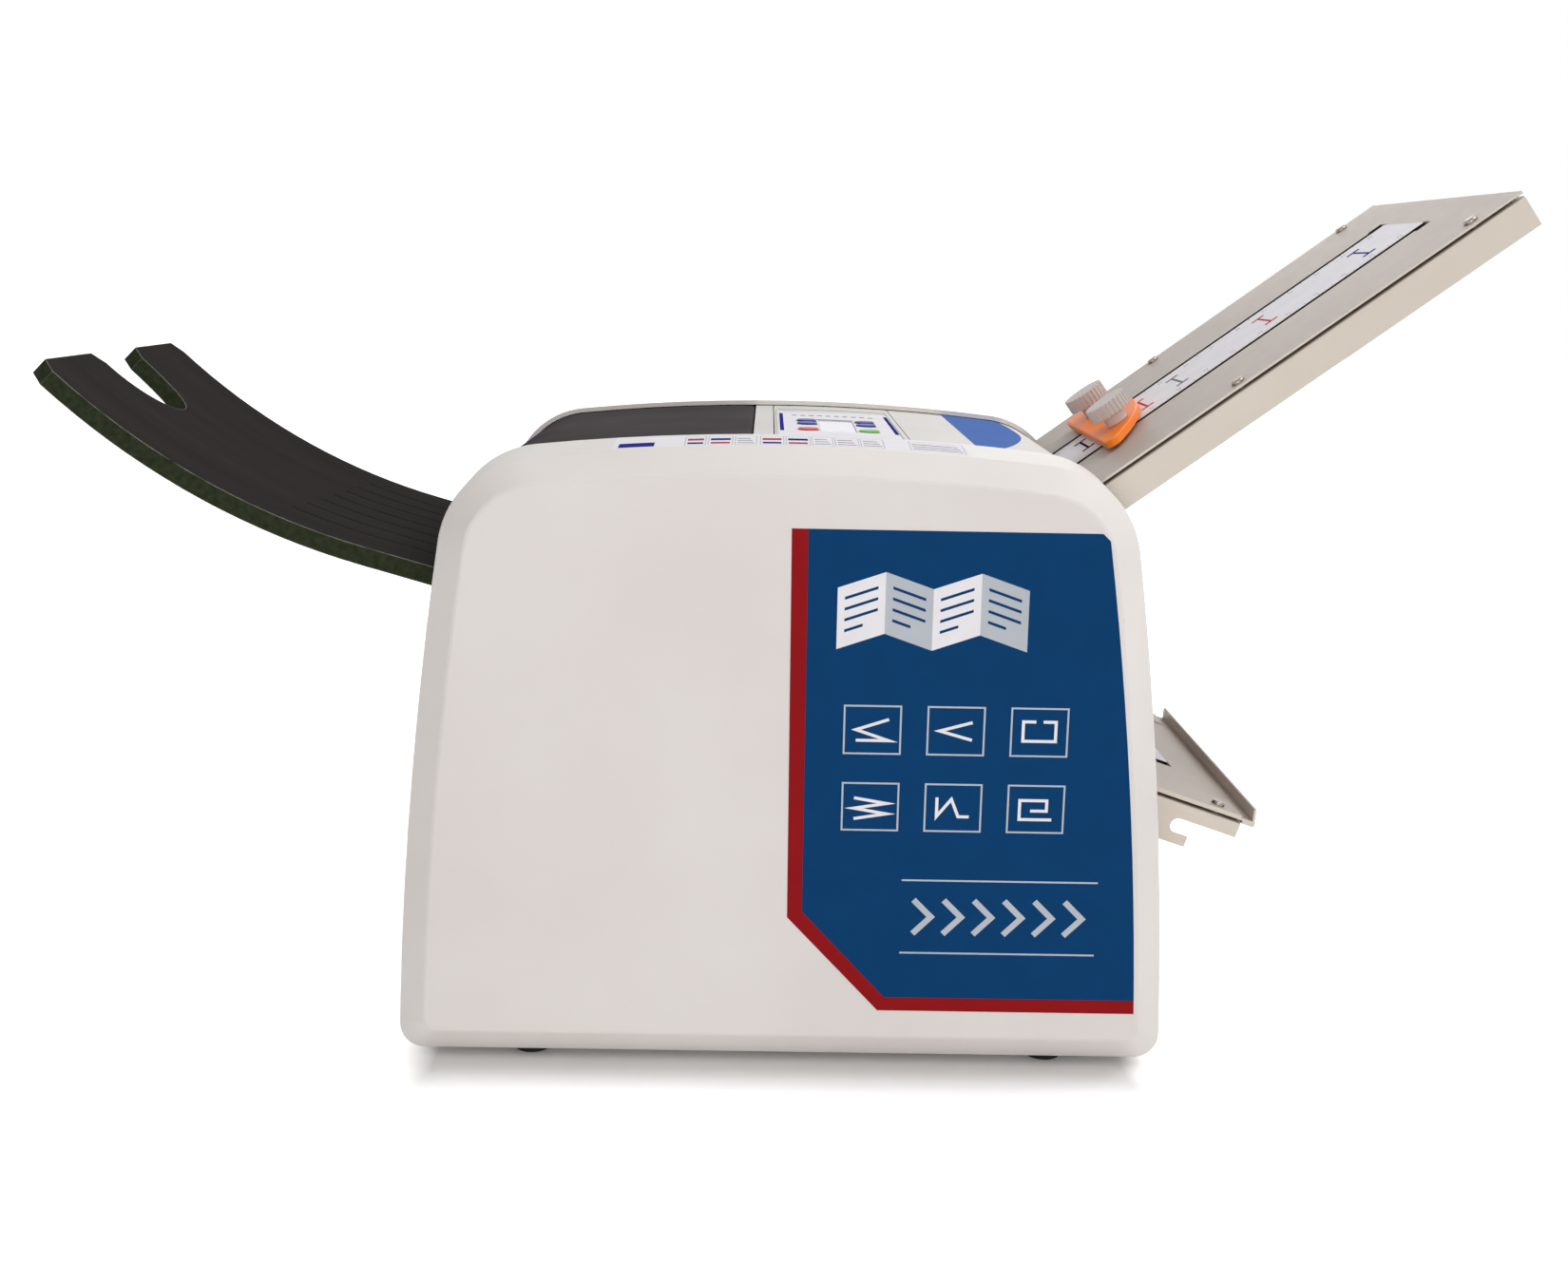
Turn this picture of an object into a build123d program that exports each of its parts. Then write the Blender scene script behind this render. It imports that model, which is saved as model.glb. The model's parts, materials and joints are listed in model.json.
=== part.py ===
from build123d import *
import os
from math import acos, cos, pi, radians, sin, sqrt, tan

# Paper folding machine, in millimetres.
# +X points towards the fold plates, -X towards the feed tray, Y runs along the rollers and
# +Z is up.  The sizes below count X from the middle of the side covers, and the finished parts
# are moved along X so that the origin lies below the middle of the whole machine's length.
# Sheets leave the feed tray, pass between rollers 1 and 2 into the upper plate, buckle down
# between rollers 2 and 3 into the lower plate, and leave between rollers 2 and 4.

# ---------------------------------------------------------------- driving dimensions
# side covers
body_width = 384.0          # outside of one side cover to outside of the other
cover_depth = 62.0          # outside of a side cover to its inner edge
cover_wall = 3.0
bevel_depth = 22.0          # how far the bevelled border lies behind the flat face
bevel_top = 13.0            # how far the flat face is set in from the outline
bevel_side = 17.6
bevel_bottom = 20.4
rim_rise = 3.3              # the top strip rises this much towards the inner edge
face_crease_radius = 3.0
rim_crease_radius = 6.0
half_width = 223.0          # widest half of the outline
side_radius = 2340.0        # bulge of the sides
side_centre_z = -67.0       # height at which the sides would be vertical
crown_radius = 1290.0
crown_z = 358.1
shoulder_radius = 56.0
face_shoulder_radius = 42.0
cover_bottom_z = 4.7
bottom_corner_radius = 14.0
face_corner_radius = 7.0
slant_share = 0.7           # how far a wall sets the slanting border in, per unit of wall
boss_places = ((-168.0, 60.0), (168.0, 52.0), (-150.0, 300.0), (178.0, 268.0))
boss_radius = 5.0
boss_floor = 12.0           # solid end of a screw boss, from the outside of the cover
screw_end_gap = 3.0

# skins between the covers
skin_recess = 3.6           # the skins lie this far below the inner edges of the covers
skin_wall = 2.5
skin_side_gap = 0.4
seam = 0.6
bridge_left_x = -21.6
panel_left_x = -9.5
panel_right_x = 70.4
top_cover_end_x = 168.0
rear_upper_low_z = 214.0
rear_upper_high_z = 304.0
rear_lower_high_z = 104.0
rear_lower_gap = 12.0       # above the floor of the frames
front_low_z = 150.0
front_high_z = 250.0
rear_upper_tab_z = 240.0    # tops of the screw tabs
rear_lower_tab_z = 95.0
front_tab_z = 210.0
skin_tab_width = 14.0
skin_tab_depth = 22.0
skin_tab_wall = 3.0
skin_tab_bite = 0.6         # how deep an upright tab runs into its skin
bridge_tab_width = 8.0
panel_tab_inset = 8.0
top_cover_tabs = (10.0, 50.0)

# frames and base
frame_wall = 3.0
frame_set_in = 3.7          # inner edge of a side cover to the inner face of its frame
frame_inset = 1.2           # frame edge below the skins
frame_skirt = 20.0          # straight lower part of the frame plate
frame_foot = 14.0
base_wall = 2.0
base_set_in_x = 16.3        # inside the outline at its widest
base_set_in_y = 26.0
foot_radius = 12.0
foot_taper = 1.5
foot_set_in_x = 72.0
feet_shift = 5.0            # the feet stand this far towards the plates
foot_set_in_y = 38.0
foot_stud_radius = 2.5
tie_radius = 5.0
spare_ties = ((-150.0, 120.0), (150.0, 240.0))

# fold plates
plate_side_gap = 1.3        # between a plate and the frame beside it
plate_sheet = 1.5
plate_bend_radius = 2.0
plate_gap = 1.8             # room for the paper between the two sheets
plate_total = 22.0          # top sheet to the bottom of the side walls
upper_angle = 36.4
upper_length = 430.0
upper_mouth_gap = 21.8      # from the nip to the plate, along its slope
lower_angle = -18.4
lower_length = 199.2
lower_mouth_x = 84.0        # middle of the paper gap at the mouth
lower_mouth_z = 198.5
slit_width = 6.0
slit_spacing = 78.0
slit_start = 60.0
slit_end_margin = 25.0
slit_window_width = 12.0
slit_window_length = 10.0
lower_slit_start = 30.0
lower_slit_end_margin = 27.0
strip_width = 30.0
strip_wall = 1.2
deflector_reach = 8.0
deflector_height = 9.5
deflector_lean = 14.0
hem_drop = 1.0              # the turned edge below the deflector, under the paper gap's middle
hook_slot_radius = 4.6
hook_arm_depth = 10.3       # below the paper gap
hook_depth = 26.0
hook_slot_length = 34.9
hook_tip = 26.8
hook_root = 64.0
plate_slot_length = 38.0
plate_pin_radius = 4.0
plate_pin_length = 6.0
plate_pin_gap = 0.6
plate_pin_x = 33.0
plate_pin_drop = 13.0
upper_rest_x = 128.0        # along the plate, where a rod carries its side walls
lower_rest_x = 112.0
screw_head_radius = 4.0
screw_head_height = 2.3
screw_head_round = 1.6
screw_shank_radius = 2.0
screw_tail = 2.0            # below the lower sheet
screw_edge = 9.0            # from the long edge of a plate
screw_spacing = 154.5
upper_screw_margin = 28.6   # from the outer end of the plate
lower_screw_margin = 14.5
screw_mouth_margin = 12.0
spacer_radius = 3.0

# stops
stop_width = 162.0
stop_depth = 37.0
stop_wall = 5.0
stop_lift = 2.0             # the clamp stands on two collars of this height
stop_collar_radius = 5.0
stop_corner_radius = 5.0
stop_chamfer = 0.8
upper_stop_x = 170.0
lower_stop_x = 78.0
bar_end_gap = 17.0          # inside the long edge of a plate
bar_depth = 9.0
bar_wall = 1.2
knob_offset = 17.0          # knob axis from the straight edge of the stop
knob_spacing = slit_spacing
knob_radius = 13.5
knob_height = 8.5
knob_lift = 7.0             # knob above the stop
knob_neck_radius = 7.0
knob_flutes = 28
flute_radius = 0.9
stud_radius = 2.2

# rollers and drive
main_radius = 22.0
fold_radius = 18.0
nip_x = 40.0                # where rollers 1 and 2 meet
nip_z = 233.13
roller_end_gap = 8.3
shaft_radius = 6.0
sleeve_wall = 4.0
roller_3_angle = 10.0
roller_4_angle = -95.0
nip_clearance = 0.3
bearing_radius = 11.0
bearing_width = 7.0
gear_module = 2.0
gear_addendum = 0.9         # in modules
gear_dedendum = 1.25
gear_width = 10.0
gear_gap = 4.7              # beyond the bearings
gear_backlash = 0.5
pressure_angle = 20.0
feed_radius = 22.0
feed_hub_radius = 12.0
feed_x = -70.0
feed_z = 258.2
feed_wheel_width = 80.0
motor_x = 130.0
motor_z = 76.0
motor_radius = 34.0
motor_length = 96.0
motor_cap = 8.0
motor_cap_radius = 15.0
motor_bore = 20.0
motor_shaft_radius = 4.0
motor_hole_radius = 8.0
motor_pulley_radius = 10.0
drive_pulley_radius = 24.0
drive_pulley_gap = 1.1      # beyond the bearings
feed_pulley_radius = 14.0
feed_pulley_gap = 1.4       # beyond the drive pulleys
belt_width = 9.0
belt_wall = 1.6
flange_wall = 1.0
flange_rise = 2.5

# paper path
guide_wall = 1.5
guide_drop = 27.2           # feed wheel axis down to the lower guide
guide_flat = 15.0           # level stretch before and after the feed wheel axis
guide_lead = (-21.0, -14.6)         # end of the ramp below the tray, from that axis
lower_guide_end = (-22.0, -9.6)     # from the nip
upper_guide_end = (-34.0, -2.6)
upper_guide_start = (24.0, -16.2)   # from the feed wheel axis
upper_guide_bend = (28.0, -21.7)
chute_start = (-25.6, 14.4)         # from the lower roller's axis
chute_bend = (-89.6, -7.6)
chute_end = (-159.6, -79.6)
pad_length = 24.0
pad_width = 60.0
pad_wall = 4.6

# feed tray
tray_side_gap = 10.3        # between the tray and the frame beside it
tray_wall = 3.0
tray_depth = 11.0
tray_radius = 416.0         # curve of the top surface
tray_slope = 15.5
tray_bend_x = -245.5        # where the curve runs into the straight part
tray_bend_z = 290.3
tray_tip_angle = 44.5       # slope of the curve at the tip
tray_inner_x = -94.0
tray_corner_length = 9.0
tray_corner_width = 7.0
notch_width = 64.0
notch_length = 55.5
rib_count = 7
rib_spacing = 26.0
rib_width = 3.0
rib_height = 0.5
rib_root = 0.6
rib_start_x = -296.0        # nearest rib; each one behind it starts a step later
rib_stagger = 2.0
rib_end_gap = 4.0
tray_rest_left_x = -180.0
tray_rest_right_x = -108.0

# lid
lid_hinge_x = -25.4
lid_barrel_radius = 3.4
lid_pin_radius = 1.5
lid_ear_radius = 3.2
lid_ear_drop = 10.0
lid_ear_gap = 1.0
lid_end_z = 300.0

# controls
key_radius = 6.3
key_stand = 1.3
key_root = 2.5              # below the skin
key_chamfer = 0.5
key_stem_radius = 2.0
key_travel = 1.0
key_columns = (11.3, 48.2)
key_rows = (3.0, -18.5, -58.0)
display_x = 29.75
display_y = -26.0
display_length = 21.4
display_width = 78.0
display_recess = 0.3
board_drop = 12.0
board_wall = 1.6
board_near_gap = 4.3        # between the board and the near frame
board_far_y = 58.0
board_x = -3.0
board_length = 66.0
board_post_radius = 2.5
board_post_inset = 4.0

# power
inlet_y = 60.0
inlet_z = 62.0
inlet_width = 58.0
inlet_height = 28.0
inlet_depth = 32.0
inlet_flange = 3.0
inlet_flange_wall = 2.0
rocker_shift = 11.5         # from the middle of the inlet
rocker_length = 20.0
rocker_width = 12.0
rocker_depth = 8.0
rocker_pocket_depth = 12.0
rocker_back_half = 8.0      # half heights of the rocker, from back to front
rocker_low_half = 9.4
rocker_high_half = 9.0
rocker_low_proud = 0.2      # how far its ends and its ridge stand out
rocker_ridge_proud = 1.0
rocker_high_proud = 2.6
rocker_pivot_depth = 4.0
rocker_pip_radius = 1.2
rocker_pip_length = 1.4
socket_shift = -13.5
socket_width = 24.0
socket_height = 16.0
socket_depth = 18.0
contact_spacing = 7.0
contact_length = 15.0
contact_width = 2.0
contact_height = 4.0
supply_size = (90.0, 70.0, 42.0)
supply_x = 40.0
supply_frame_gap = 26.3

# exit
exit_tray_length = 190.0
exit_tray_wall = 2.5
exit_tray_rim = 16.0
exit_tray_gap = 1.0

running_gap = 0.3           # between parts that slide or turn past each other
turning_gap = 0.06          # between a shaft or pin and the bore it turns in
fit_gap = 0.15              # round studs, shafts and inserts
over = 1.0                  # how far a cutting tool reaches past what it cuts
beyond = 600.0              # farther out than any piece of the machine

# ---------------------------------------------------------------- derived places
cover_outer_y = body_width / 2
cover_inner_y = cover_outer_y - cover_depth
rim_y = cover_outer_y - bevel_depth
frame_in_y = cover_inner_y - frame_set_in
frame_out_y = frame_in_y + frame_wall
skin_y = cover_inner_y - skin_side_gap
base_z = cover_bottom_z + cover_wall
floor_z = base_z + base_wall
plate_half = frame_in_y - plate_side_gap
sheet_top = plate_gap / 2 + plate_sheet
wall_bottom = sheet_top - plate_total
roller_half = frame_in_y - roller_end_gap
tray_half = frame_in_y - tray_side_gap
bearing_end_y = frame_in_y + bearing_width
plain_shaft_end_y = bearing_end_y - over
pulley_half = belt_width / 2 + running_gap + flange_wall
drive_belt_y = -(bearing_end_y + drive_pulley_gap + pulley_half)
feed_belt_y = drive_belt_y - feed_pulley_gap - 2 * pulley_half
main_shaft_end_y = pulley_half - drive_belt_y
feed_shaft_end_y = pulley_half - feed_belt_y
gear_y = bearing_end_y + gear_gap
shaft_end_y = gear_y + gear_width + over
foot_x = half_width - foot_set_in_x
feet_x = (feet_shift - foot_x, feet_shift + foot_x)
foot_y = cover_outer_y - foot_set_in_y


# ---------------------------------------------------------------- small helpers
def block(x0, x1, y0, y1, z0, z1):
    """A box between two opposite corners."""
    return Pos((x0 + x1) / 2, (y0 + y1) / 2, (z0 + z1) / 2) * Box(x1 - x0, y1 - y0, z1 - z0)


def rod_y(x, z, y0, y1, radius):
    """A round bar along Y."""
    return Pos(x, (y0 + y1) / 2, z) * Rot(90, 0, 0) * Cylinder(radius, y1 - y0)


def rod_z(x, y, z0, z1, radius):
    """A round bar along Z."""
    return Pos(x, y, (z0 + z1) / 2) * Cylinder(radius, z1 - z0)


def both_sides(shape):
    """The shape and its mirror image across the middle plane."""
    return [shape, shape.mirror(Plane.XZ)]


def join(first, others):
    for other in others:
        first = first + other
    return first


def cut_all(shape, tools):
    for tool in tools:
        shape = shape - tool
    return shape


def band(points, wall, half):
    """A bent sheet: a polyline in the XZ plane, thickened downwards and run along Y."""
    lower = [(x, z - wall) for x, z in reversed(points)]
    face = Plane.XZ * make_face(Polyline(*points, *lower, close=True))
    return extrude(face, amount=half, both=True)


saved = {}


def save(name, shape):
    """Move one sub-part to the origin and write it; a list becomes a group of solids."""
    items = shape if isinstance(shape, (list, tuple)) else [shape]
    solids = [Pos(-middle_x, 0, 0) * solid for item in items for solid in item.solids()]
    saved[name] = solids[0] if len(solids) == 1 else Compound(children=solids)
    export_step(saved[name], f"parts/{name}.step")


# ---------------------------------------------------------------- the rounded outline
def side_x(z, inset=0.0):
    return half_width - inset - (z - side_centre_z) ** 2 / (2 * side_radius)


def top_z(x, inset=0.0):
    """Height of the crowned top over x."""
    return crown_z + rim_rise - inset - x ** 2 / (2 * crown_radius)


def outline(y, side_inset, bottom, crown, corner_radius, top_radius):
    """The body's outline at one y, as a face: a trapezoid with bulging sides and top."""
    z = crown
    for _ in range(40):
        x = side_x(z, side_inset)
        z = crown - x ** 2 / (2 * crown_radius)
    mid = (bottom + z) / 2
    low_x = side_x(bottom, side_inset)
    edges = [
        Line((-low_x, y, bottom), (low_x, y, bottom)),
        ThreePointArc((low_x, y, bottom), (side_x(mid, side_inset), y, mid), (x, y, z)),
        ThreePointArc((x, y, z), (0, y, crown), (-x, y, z)),
        ThreePointArc((-x, y, z), (-side_x(mid, side_inset), y, mid), (-low_x, y, bottom)),
    ]
    face = Face(Wire(edges))
    corners = face.vertices().sort_by(Axis.Z)
    face = face.fillet_2d(corner_radius, corners[:2])
    corners = [v for v in face.vertices() if v.Z > z - 0.01]
    return face.fillet_2d(top_radius, corners)


def ring(inset, wall):
    """The outline's skin between the covers, as one closed band along Y."""
    crown = crown_z + rim_rise - inset
    outer = outline(0, inset, cover_bottom_z + inset, crown, bottom_corner_radius,
                    shoulder_radius - inset)
    inner = outline(0, inset + wall, cover_bottom_z + inset + wall, crown - wall,
                    bottom_corner_radius - wall, shoulder_radius - inset - wall)
    return (extrude(outer, amount=skin_y, both=True)
            - extrude(inner, amount=skin_y + over, both=True))


board_top = top_z(panel_right_x, skin_recess + skin_wall) - board_drop
board_near_y = board_near_gap - frame_in_y
lid_hinge_z = top_z(lid_hinge_x, skin_recess) - lid_barrel_radius


# ---------------------------------------------------------------- side covers
def cover_solid(inset, inner_y, outer_y):
    """The cover's outer form, shrunk by a wall thickness."""
    slanted = inset * slant_share
    sections = [
        outline(-outer_y, bevel_side + slanted, cover_bottom_z + bevel_bottom + slanted,
                crown_z - bevel_top - slanted, face_corner_radius, face_shoulder_radius - inset),
        outline(-rim_y, inset, cover_bottom_z + inset, crown_z - inset,
                bottom_corner_radius - inset, shoulder_radius - inset),
        outline(-inner_y, inset, cover_bottom_z + inset, crown_z + rim_rise - inset,
                bottom_corner_radius - inset, shoulder_radius - inset),
    ]
    return loft(sections[:2], ruled=True) + loft(sections[1:], ruled=True)


def side_cover():
    shell = cover_solid(0, cover_inner_y, cover_outer_y)
    face_edges = [e for e in shell.edges() if abs(e.center().Y + cover_outer_y) < 0.01]
    shell = fillet(face_edges, face_crease_radius)
    rim_edges = [e for e in shell.edges()
                 if abs(e.bounding_box().min.Y + rim_y) < 0.01
                 and abs(e.bounding_box().max.Y + rim_y) < 0.01]
    shell = fillet(rim_edges, rim_crease_radius)
    cavity = cover_solid(cover_wall, cover_inner_y - over, cover_outer_y - cover_wall)
    shell = shell - cavity
    for x, z in boss_places:
        boss = rod_y(x, z, -cover_outer_y + cover_wall / 2, -frame_out_y, boss_radius)
        bore = rod_y(x, z, -cover_outer_y + boss_floor, 0, screw_shank_radius - fit_gap)
        shell = shell + boss - bore
    for x in feet_x:
        shell = shell - rod_z(x, -foot_y, 0, base_z + over, foot_stud_radius + fit_gap)
    return shell


def save_covers():
    near = side_cover()
    save("near_side_cover", near)
    save("far_side_cover", near.mirror(Plane.XZ))
    screws = []
    for x, z in boss_places:
        head = rod_y(x, z, -frame_in_y, -frame_in_y + screw_head_height, screw_head_radius)
        shank = rod_y(x, z, -cover_outer_y + boss_floor + screw_end_gap, -frame_in_y,
                      screw_shank_radius - fit_gap)
        screws += both_sides(head + shank)
    save("cover_screws", screws)


# ---------------------------------------------------------------- rollers
nip = radians(upper_angle)
slant = radians(lower_angle)


def around_main(angle, distance):
    return (main_x + distance * cos(radians(angle)), main_z + distance * sin(radians(angle)))


main_x = nip_x + main_radius * sin(nip)
main_z = nip_z - main_radius * cos(nip)
roller_pitch = main_radius + fold_radius
rollers = {
    "main_roller": (main_x, main_z, main_radius),
    "upper_roller": (*around_main(90 + upper_angle, roller_pitch), fold_radius),
    "rear_roller": (*around_main(roller_3_angle, roller_pitch), fold_radius),
    "lower_roller": (*around_main(roller_4_angle, roller_pitch), fold_radius),
}


def gear(x, z, pitch_radius, phase):
    """A spur gear with involute teeth; one tooth points along phase, in degrees."""
    teeth = round(2 * pitch_radius / gear_module)
    alpha = radians(pressure_angle)
    base = pitch_radius * cos(alpha)
    root = pitch_radius - gear_dedendum * gear_module
    tip = pitch_radius + gear_addendum * gear_module

    def half_angle(radius):
        at = acos(min(1.0, base / radius))
        thick = (pi * pitch_radius / teeth - gear_backlash) / (2 * pitch_radius)
        return thick + (tan(alpha) - alpha) - (tan(at) - at)

    radii = [root, max(base, root + 0.05), pitch_radius, (pitch_radius + tip) / 2, tip]
    points = []
    for tooth in range(teeth):
        centre = radians(phase) + 2 * pi * tooth / teeth
        for radius in radii:
            points.append((radius, centre - half_angle(radius)))
        for radius in reversed(radii):
            points.append((radius, centre + half_angle(radius)))
    corners = [(x + r * cos(a), z + r * sin(a)) for r, a in points]
    face = Plane.XZ.offset(-gear_y) * make_face(Polyline(*corners, close=True))
    return extrude(face, amount=-gear_width)


def gear_phase(name):
    """Teeth of the main gear point at each neighbour, whose gap faces them."""
    if name == "main_roller":
        return roller_3_angle
    x, z, radius = rollers[name]
    towards = {"upper_roller": 90 + upper_angle, "rear_roller": roller_3_angle,
               "lower_roller": roller_4_angle}[name]
    main_teeth = round(2 * main_radius / gear_module)
    teeth = round(2 * radius / gear_module)
    turned = (towards - roller_3_angle) * main_teeth / teeth
    return towards + 180 + 180 / teeth + turned


def pulley(x, z, radius, y):
    """A flanged belt pulley centred on y."""
    wheel = rod_y(x, z, y - belt_width / 2 - running_gap, y + belt_width / 2 + running_gap, radius)
    for side in (-1, 1):
        inner = y + side * (belt_width / 2 + running_gap)
        outer = inner + side * flange_wall
        wheel = wheel + rod_y(x, z, min(inner, outer), max(inner, outer), radius + flange_rise)
    return wheel


def belt(wheels, y):
    """A belt round two wheels, clear of them by the running gap."""
    outer = extrude(make_face(taut_loop(wheels, running_gap + belt_wall)),
                    amount=belt_width / 2, both=True)
    inner = extrude(make_face(taut_loop(wheels, running_gap)), amount=belt_width, both=True)
    return Pos(0, y, 0) * (outer - inner)


def taut_loop(wheels, extra):
    """The outline of a taut loop round two circles in the XZ plane."""
    (x0, z0, r0), (x1, z1, r1) = wheels
    r0, r1 = r0 + extra, r1 + extra
    dx, dz = x1 - x0, z1 - z0
    length = sqrt(dx ** 2 + dz ** 2)
    lean = acos((r0 - r1) / length)
    along = Vector(dx / length, 0, dz / length)
    across = Vector(-dz / length, 0, dx / length)

    def at(x, z, radius, angle):
        spoke = along * cos(angle) + across * sin(angle)
        return Vector(x, 0, z) + spoke * radius

    first = [at(x0, z0, r0, a) for a in (lean, pi, -lean)]
    second = [at(x1, z1, r1, a) for a in (-lean, 0, lean)]
    return [
        ThreePointArc(*first),
        Line(first[2], second[0]),
        ThreePointArc(*second),
        Line(second[2], first[0]),
    ]


def save_rollers():
    for name, (x, z, radius) in rollers.items():
        half = roller_half
        core = radius - sleeve_wall
        sleeve = rod_y(x, z, -half, half, radius - nip_clearance / 2)
        save(f"{name}_sleeve", sleeve - rod_y(x, z, -half - over, half + over, core))
        shaft = rod_y(x, z, -half, half, core)
        near_end = {"main_roller": main_shaft_end_y, "upper_roller": feed_shaft_end_y}.get(
            name, plain_shaft_end_y)
        shaft = shaft + rod_y(x, z, -near_end, shaft_end_y, shaft_radius)
        shaft = shaft + gear(x, z, radius, gear_phase(name))
        if name == "main_roller":
            shaft = shaft + pulley(x, z, drive_pulley_radius, drive_belt_y)
        if name == "upper_roller":
            shaft = shaft + pulley(x, z, feed_pulley_radius, feed_belt_y)
        save(f"{name}_shaft", shaft)


def save_feed_and_motor():
    half = feed_wheel_width / 2
    wheel = rod_y(feed_x, feed_z, -half, half, feed_radius)
    save("feed_wheel", wheel - rod_y(feed_x, feed_z, -half - over, half + over, feed_hub_radius))
    shaft = rod_y(feed_x, feed_z, -half, half, feed_hub_radius)
    shaft = shaft + rod_y(feed_x, feed_z, -feed_shaft_end_y, plain_shaft_end_y, shaft_radius)
    save("feed_shaft", shaft + pulley(feed_x, feed_z, feed_pulley_radius, feed_belt_y))

    near = -frame_in_y
    motor = rod_y(motor_x, motor_z, near, near + motor_length, motor_radius)
    motor = motor + rod_y(motor_x, motor_z, near + motor_length, near + motor_length + motor_cap,
                          motor_cap_radius)
    motor = motor - rod_y(motor_x, motor_z, near - over, near + motor_bore,
                          motor_shaft_radius + running_gap)
    save("drive_motor", motor)
    rotor = rod_y(motor_x, motor_z, drive_belt_y - belt_width, near + motor_bore - over,
                  motor_shaft_radius)
    save("motor_pulley", rotor + pulley(motor_x, motor_z, motor_pulley_radius, drive_belt_y))

    upper_x, upper_z, _ = rollers["upper_roller"]
    drive = belt([(main_x, main_z, drive_pulley_radius),
                  (motor_x, motor_z, motor_pulley_radius)], drive_belt_y)
    feed = belt([(upper_x, upper_z, feed_pulley_radius),
                 (feed_x, feed_z, feed_pulley_radius)], feed_belt_y)
    save("timing_belts", [drive, feed])


# ---------------------------------------------------------------- where tray and plates lie
def tray_top(x):
    """Height of the tray's paper surface on its straight part."""
    return tray_bend_z - (x - tray_bend_x) * tan(radians(tray_slope))


def tray_point(x, down):
    """A point of the straight part, down below the paper surface along its normal."""
    slope = radians(tray_slope)
    return (x - down * sin(slope), tray_top(x) - down * cos(slope))


def tray_curve(angle, down):
    """A point of the curved part, where its slope has this angle."""
    slope = radians(tray_slope)
    radius = tray_radius + down
    return (tray_bend_x + tray_radius * sin(slope) - radius * sin(angle),
            tray_bend_z + tray_radius * cos(slope) - radius * cos(angle))


def upper_point(along, up):
    """A point of the upper plate's own frame: along the slope and above the paper gap."""
    reach = upper_mouth_gap + along
    return (nip_x + reach * cos(nip) - up * sin(nip), nip_z + reach * sin(nip) + up * cos(nip))


def lower_point(along, up):
    """The same for the lower plate."""
    return (lower_mouth_x + along * cos(slant) - up * sin(slant),
            lower_mouth_z + along * sin(slant) + up * cos(slant))


def plate_place(point, angle):
    """Where a plate drawn flat at the origin goes."""
    x, z = point(0, 0)
    return Plane(origin=(x, 0, z), x_dir=(cos(angle), 0, sin(angle)),
                 z_dir=(-sin(angle), 0, cos(angle))).location


upper_place = plate_place(upper_point, nip)
lower_place = plate_place(lower_point, slant)

tray_end_x = tray_curve(radians(tray_tip_angle), tray_depth)[0]
plate_end_x = upper_point(upper_length, wall_bottom)[0]
middle_x = (tray_end_x + plate_end_x) / 2


# ---------------------------------------------------------------- frames and base
shaft_places = [(x, z) for x, z, _ in rollers.values()] + [(feed_x, feed_z)]
rest_drop = wall_bottom - running_gap - tie_radius
tie_places = [
    upper_point(upper_rest_x, rest_drop),
    lower_point(lower_rest_x, rest_drop),
    tray_point(tray_rest_left_x, tray_depth + tie_radius),
    tray_point(tray_rest_right_x, tray_depth + tie_radius),
    *spare_ties,
]


def side_frame():
    """The near side frame: a steel plate with bearing seats and a bent foot."""
    inset = skin_recess + skin_wall + frame_inset
    face = outline(0, inset, cover_bottom_z + inset, crown_z + rim_rise - inset,
                   bottom_corner_radius / 2, shoulder_radius - inset)
    plate = Pos(0, -frame_in_y, 0) * extrude(face, amount=frame_wall, dir=(0, -1, 0))
    low_x = side_x(floor_z, inset) - bottom_corner_radius
    plate = plate + block(-low_x, low_x, -frame_out_y, -frame_in_y, floor_z,
                          floor_z + frame_skirt)
    plate = plate - block(-beyond, beyond, -frame_out_y - over, 0, 0, floor_z)
    plate = plate + block(-low_x, low_x, -frame_in_y, -frame_in_y + frame_foot,
                          floor_z, floor_z + frame_wall)
    ear = rod_y(lid_hinge_x, lid_hinge_z, -frame_out_y, -frame_in_y, lid_ear_radius)
    ear = ear + block(lid_hinge_x - lid_ear_radius, lid_hinge_x + lid_ear_radius, -frame_out_y,
                      -frame_in_y, lid_hinge_z - lid_ear_drop, lid_hinge_z)
    plate = plate + ear
    holes = [(lid_hinge_x, lid_hinge_z, lid_pin_radius), (motor_x, motor_z, motor_hole_radius)]
    holes += [(x, z, bearing_radius) for x, z in shaft_places]
    holes += [(x, z, screw_shank_radius + fit_gap) for x, z in boss_places]
    for x, z, radius in holes:
        plate = plate - rod_y(x, z, -frame_out_y - over, 0, radius)
    return plate


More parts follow.
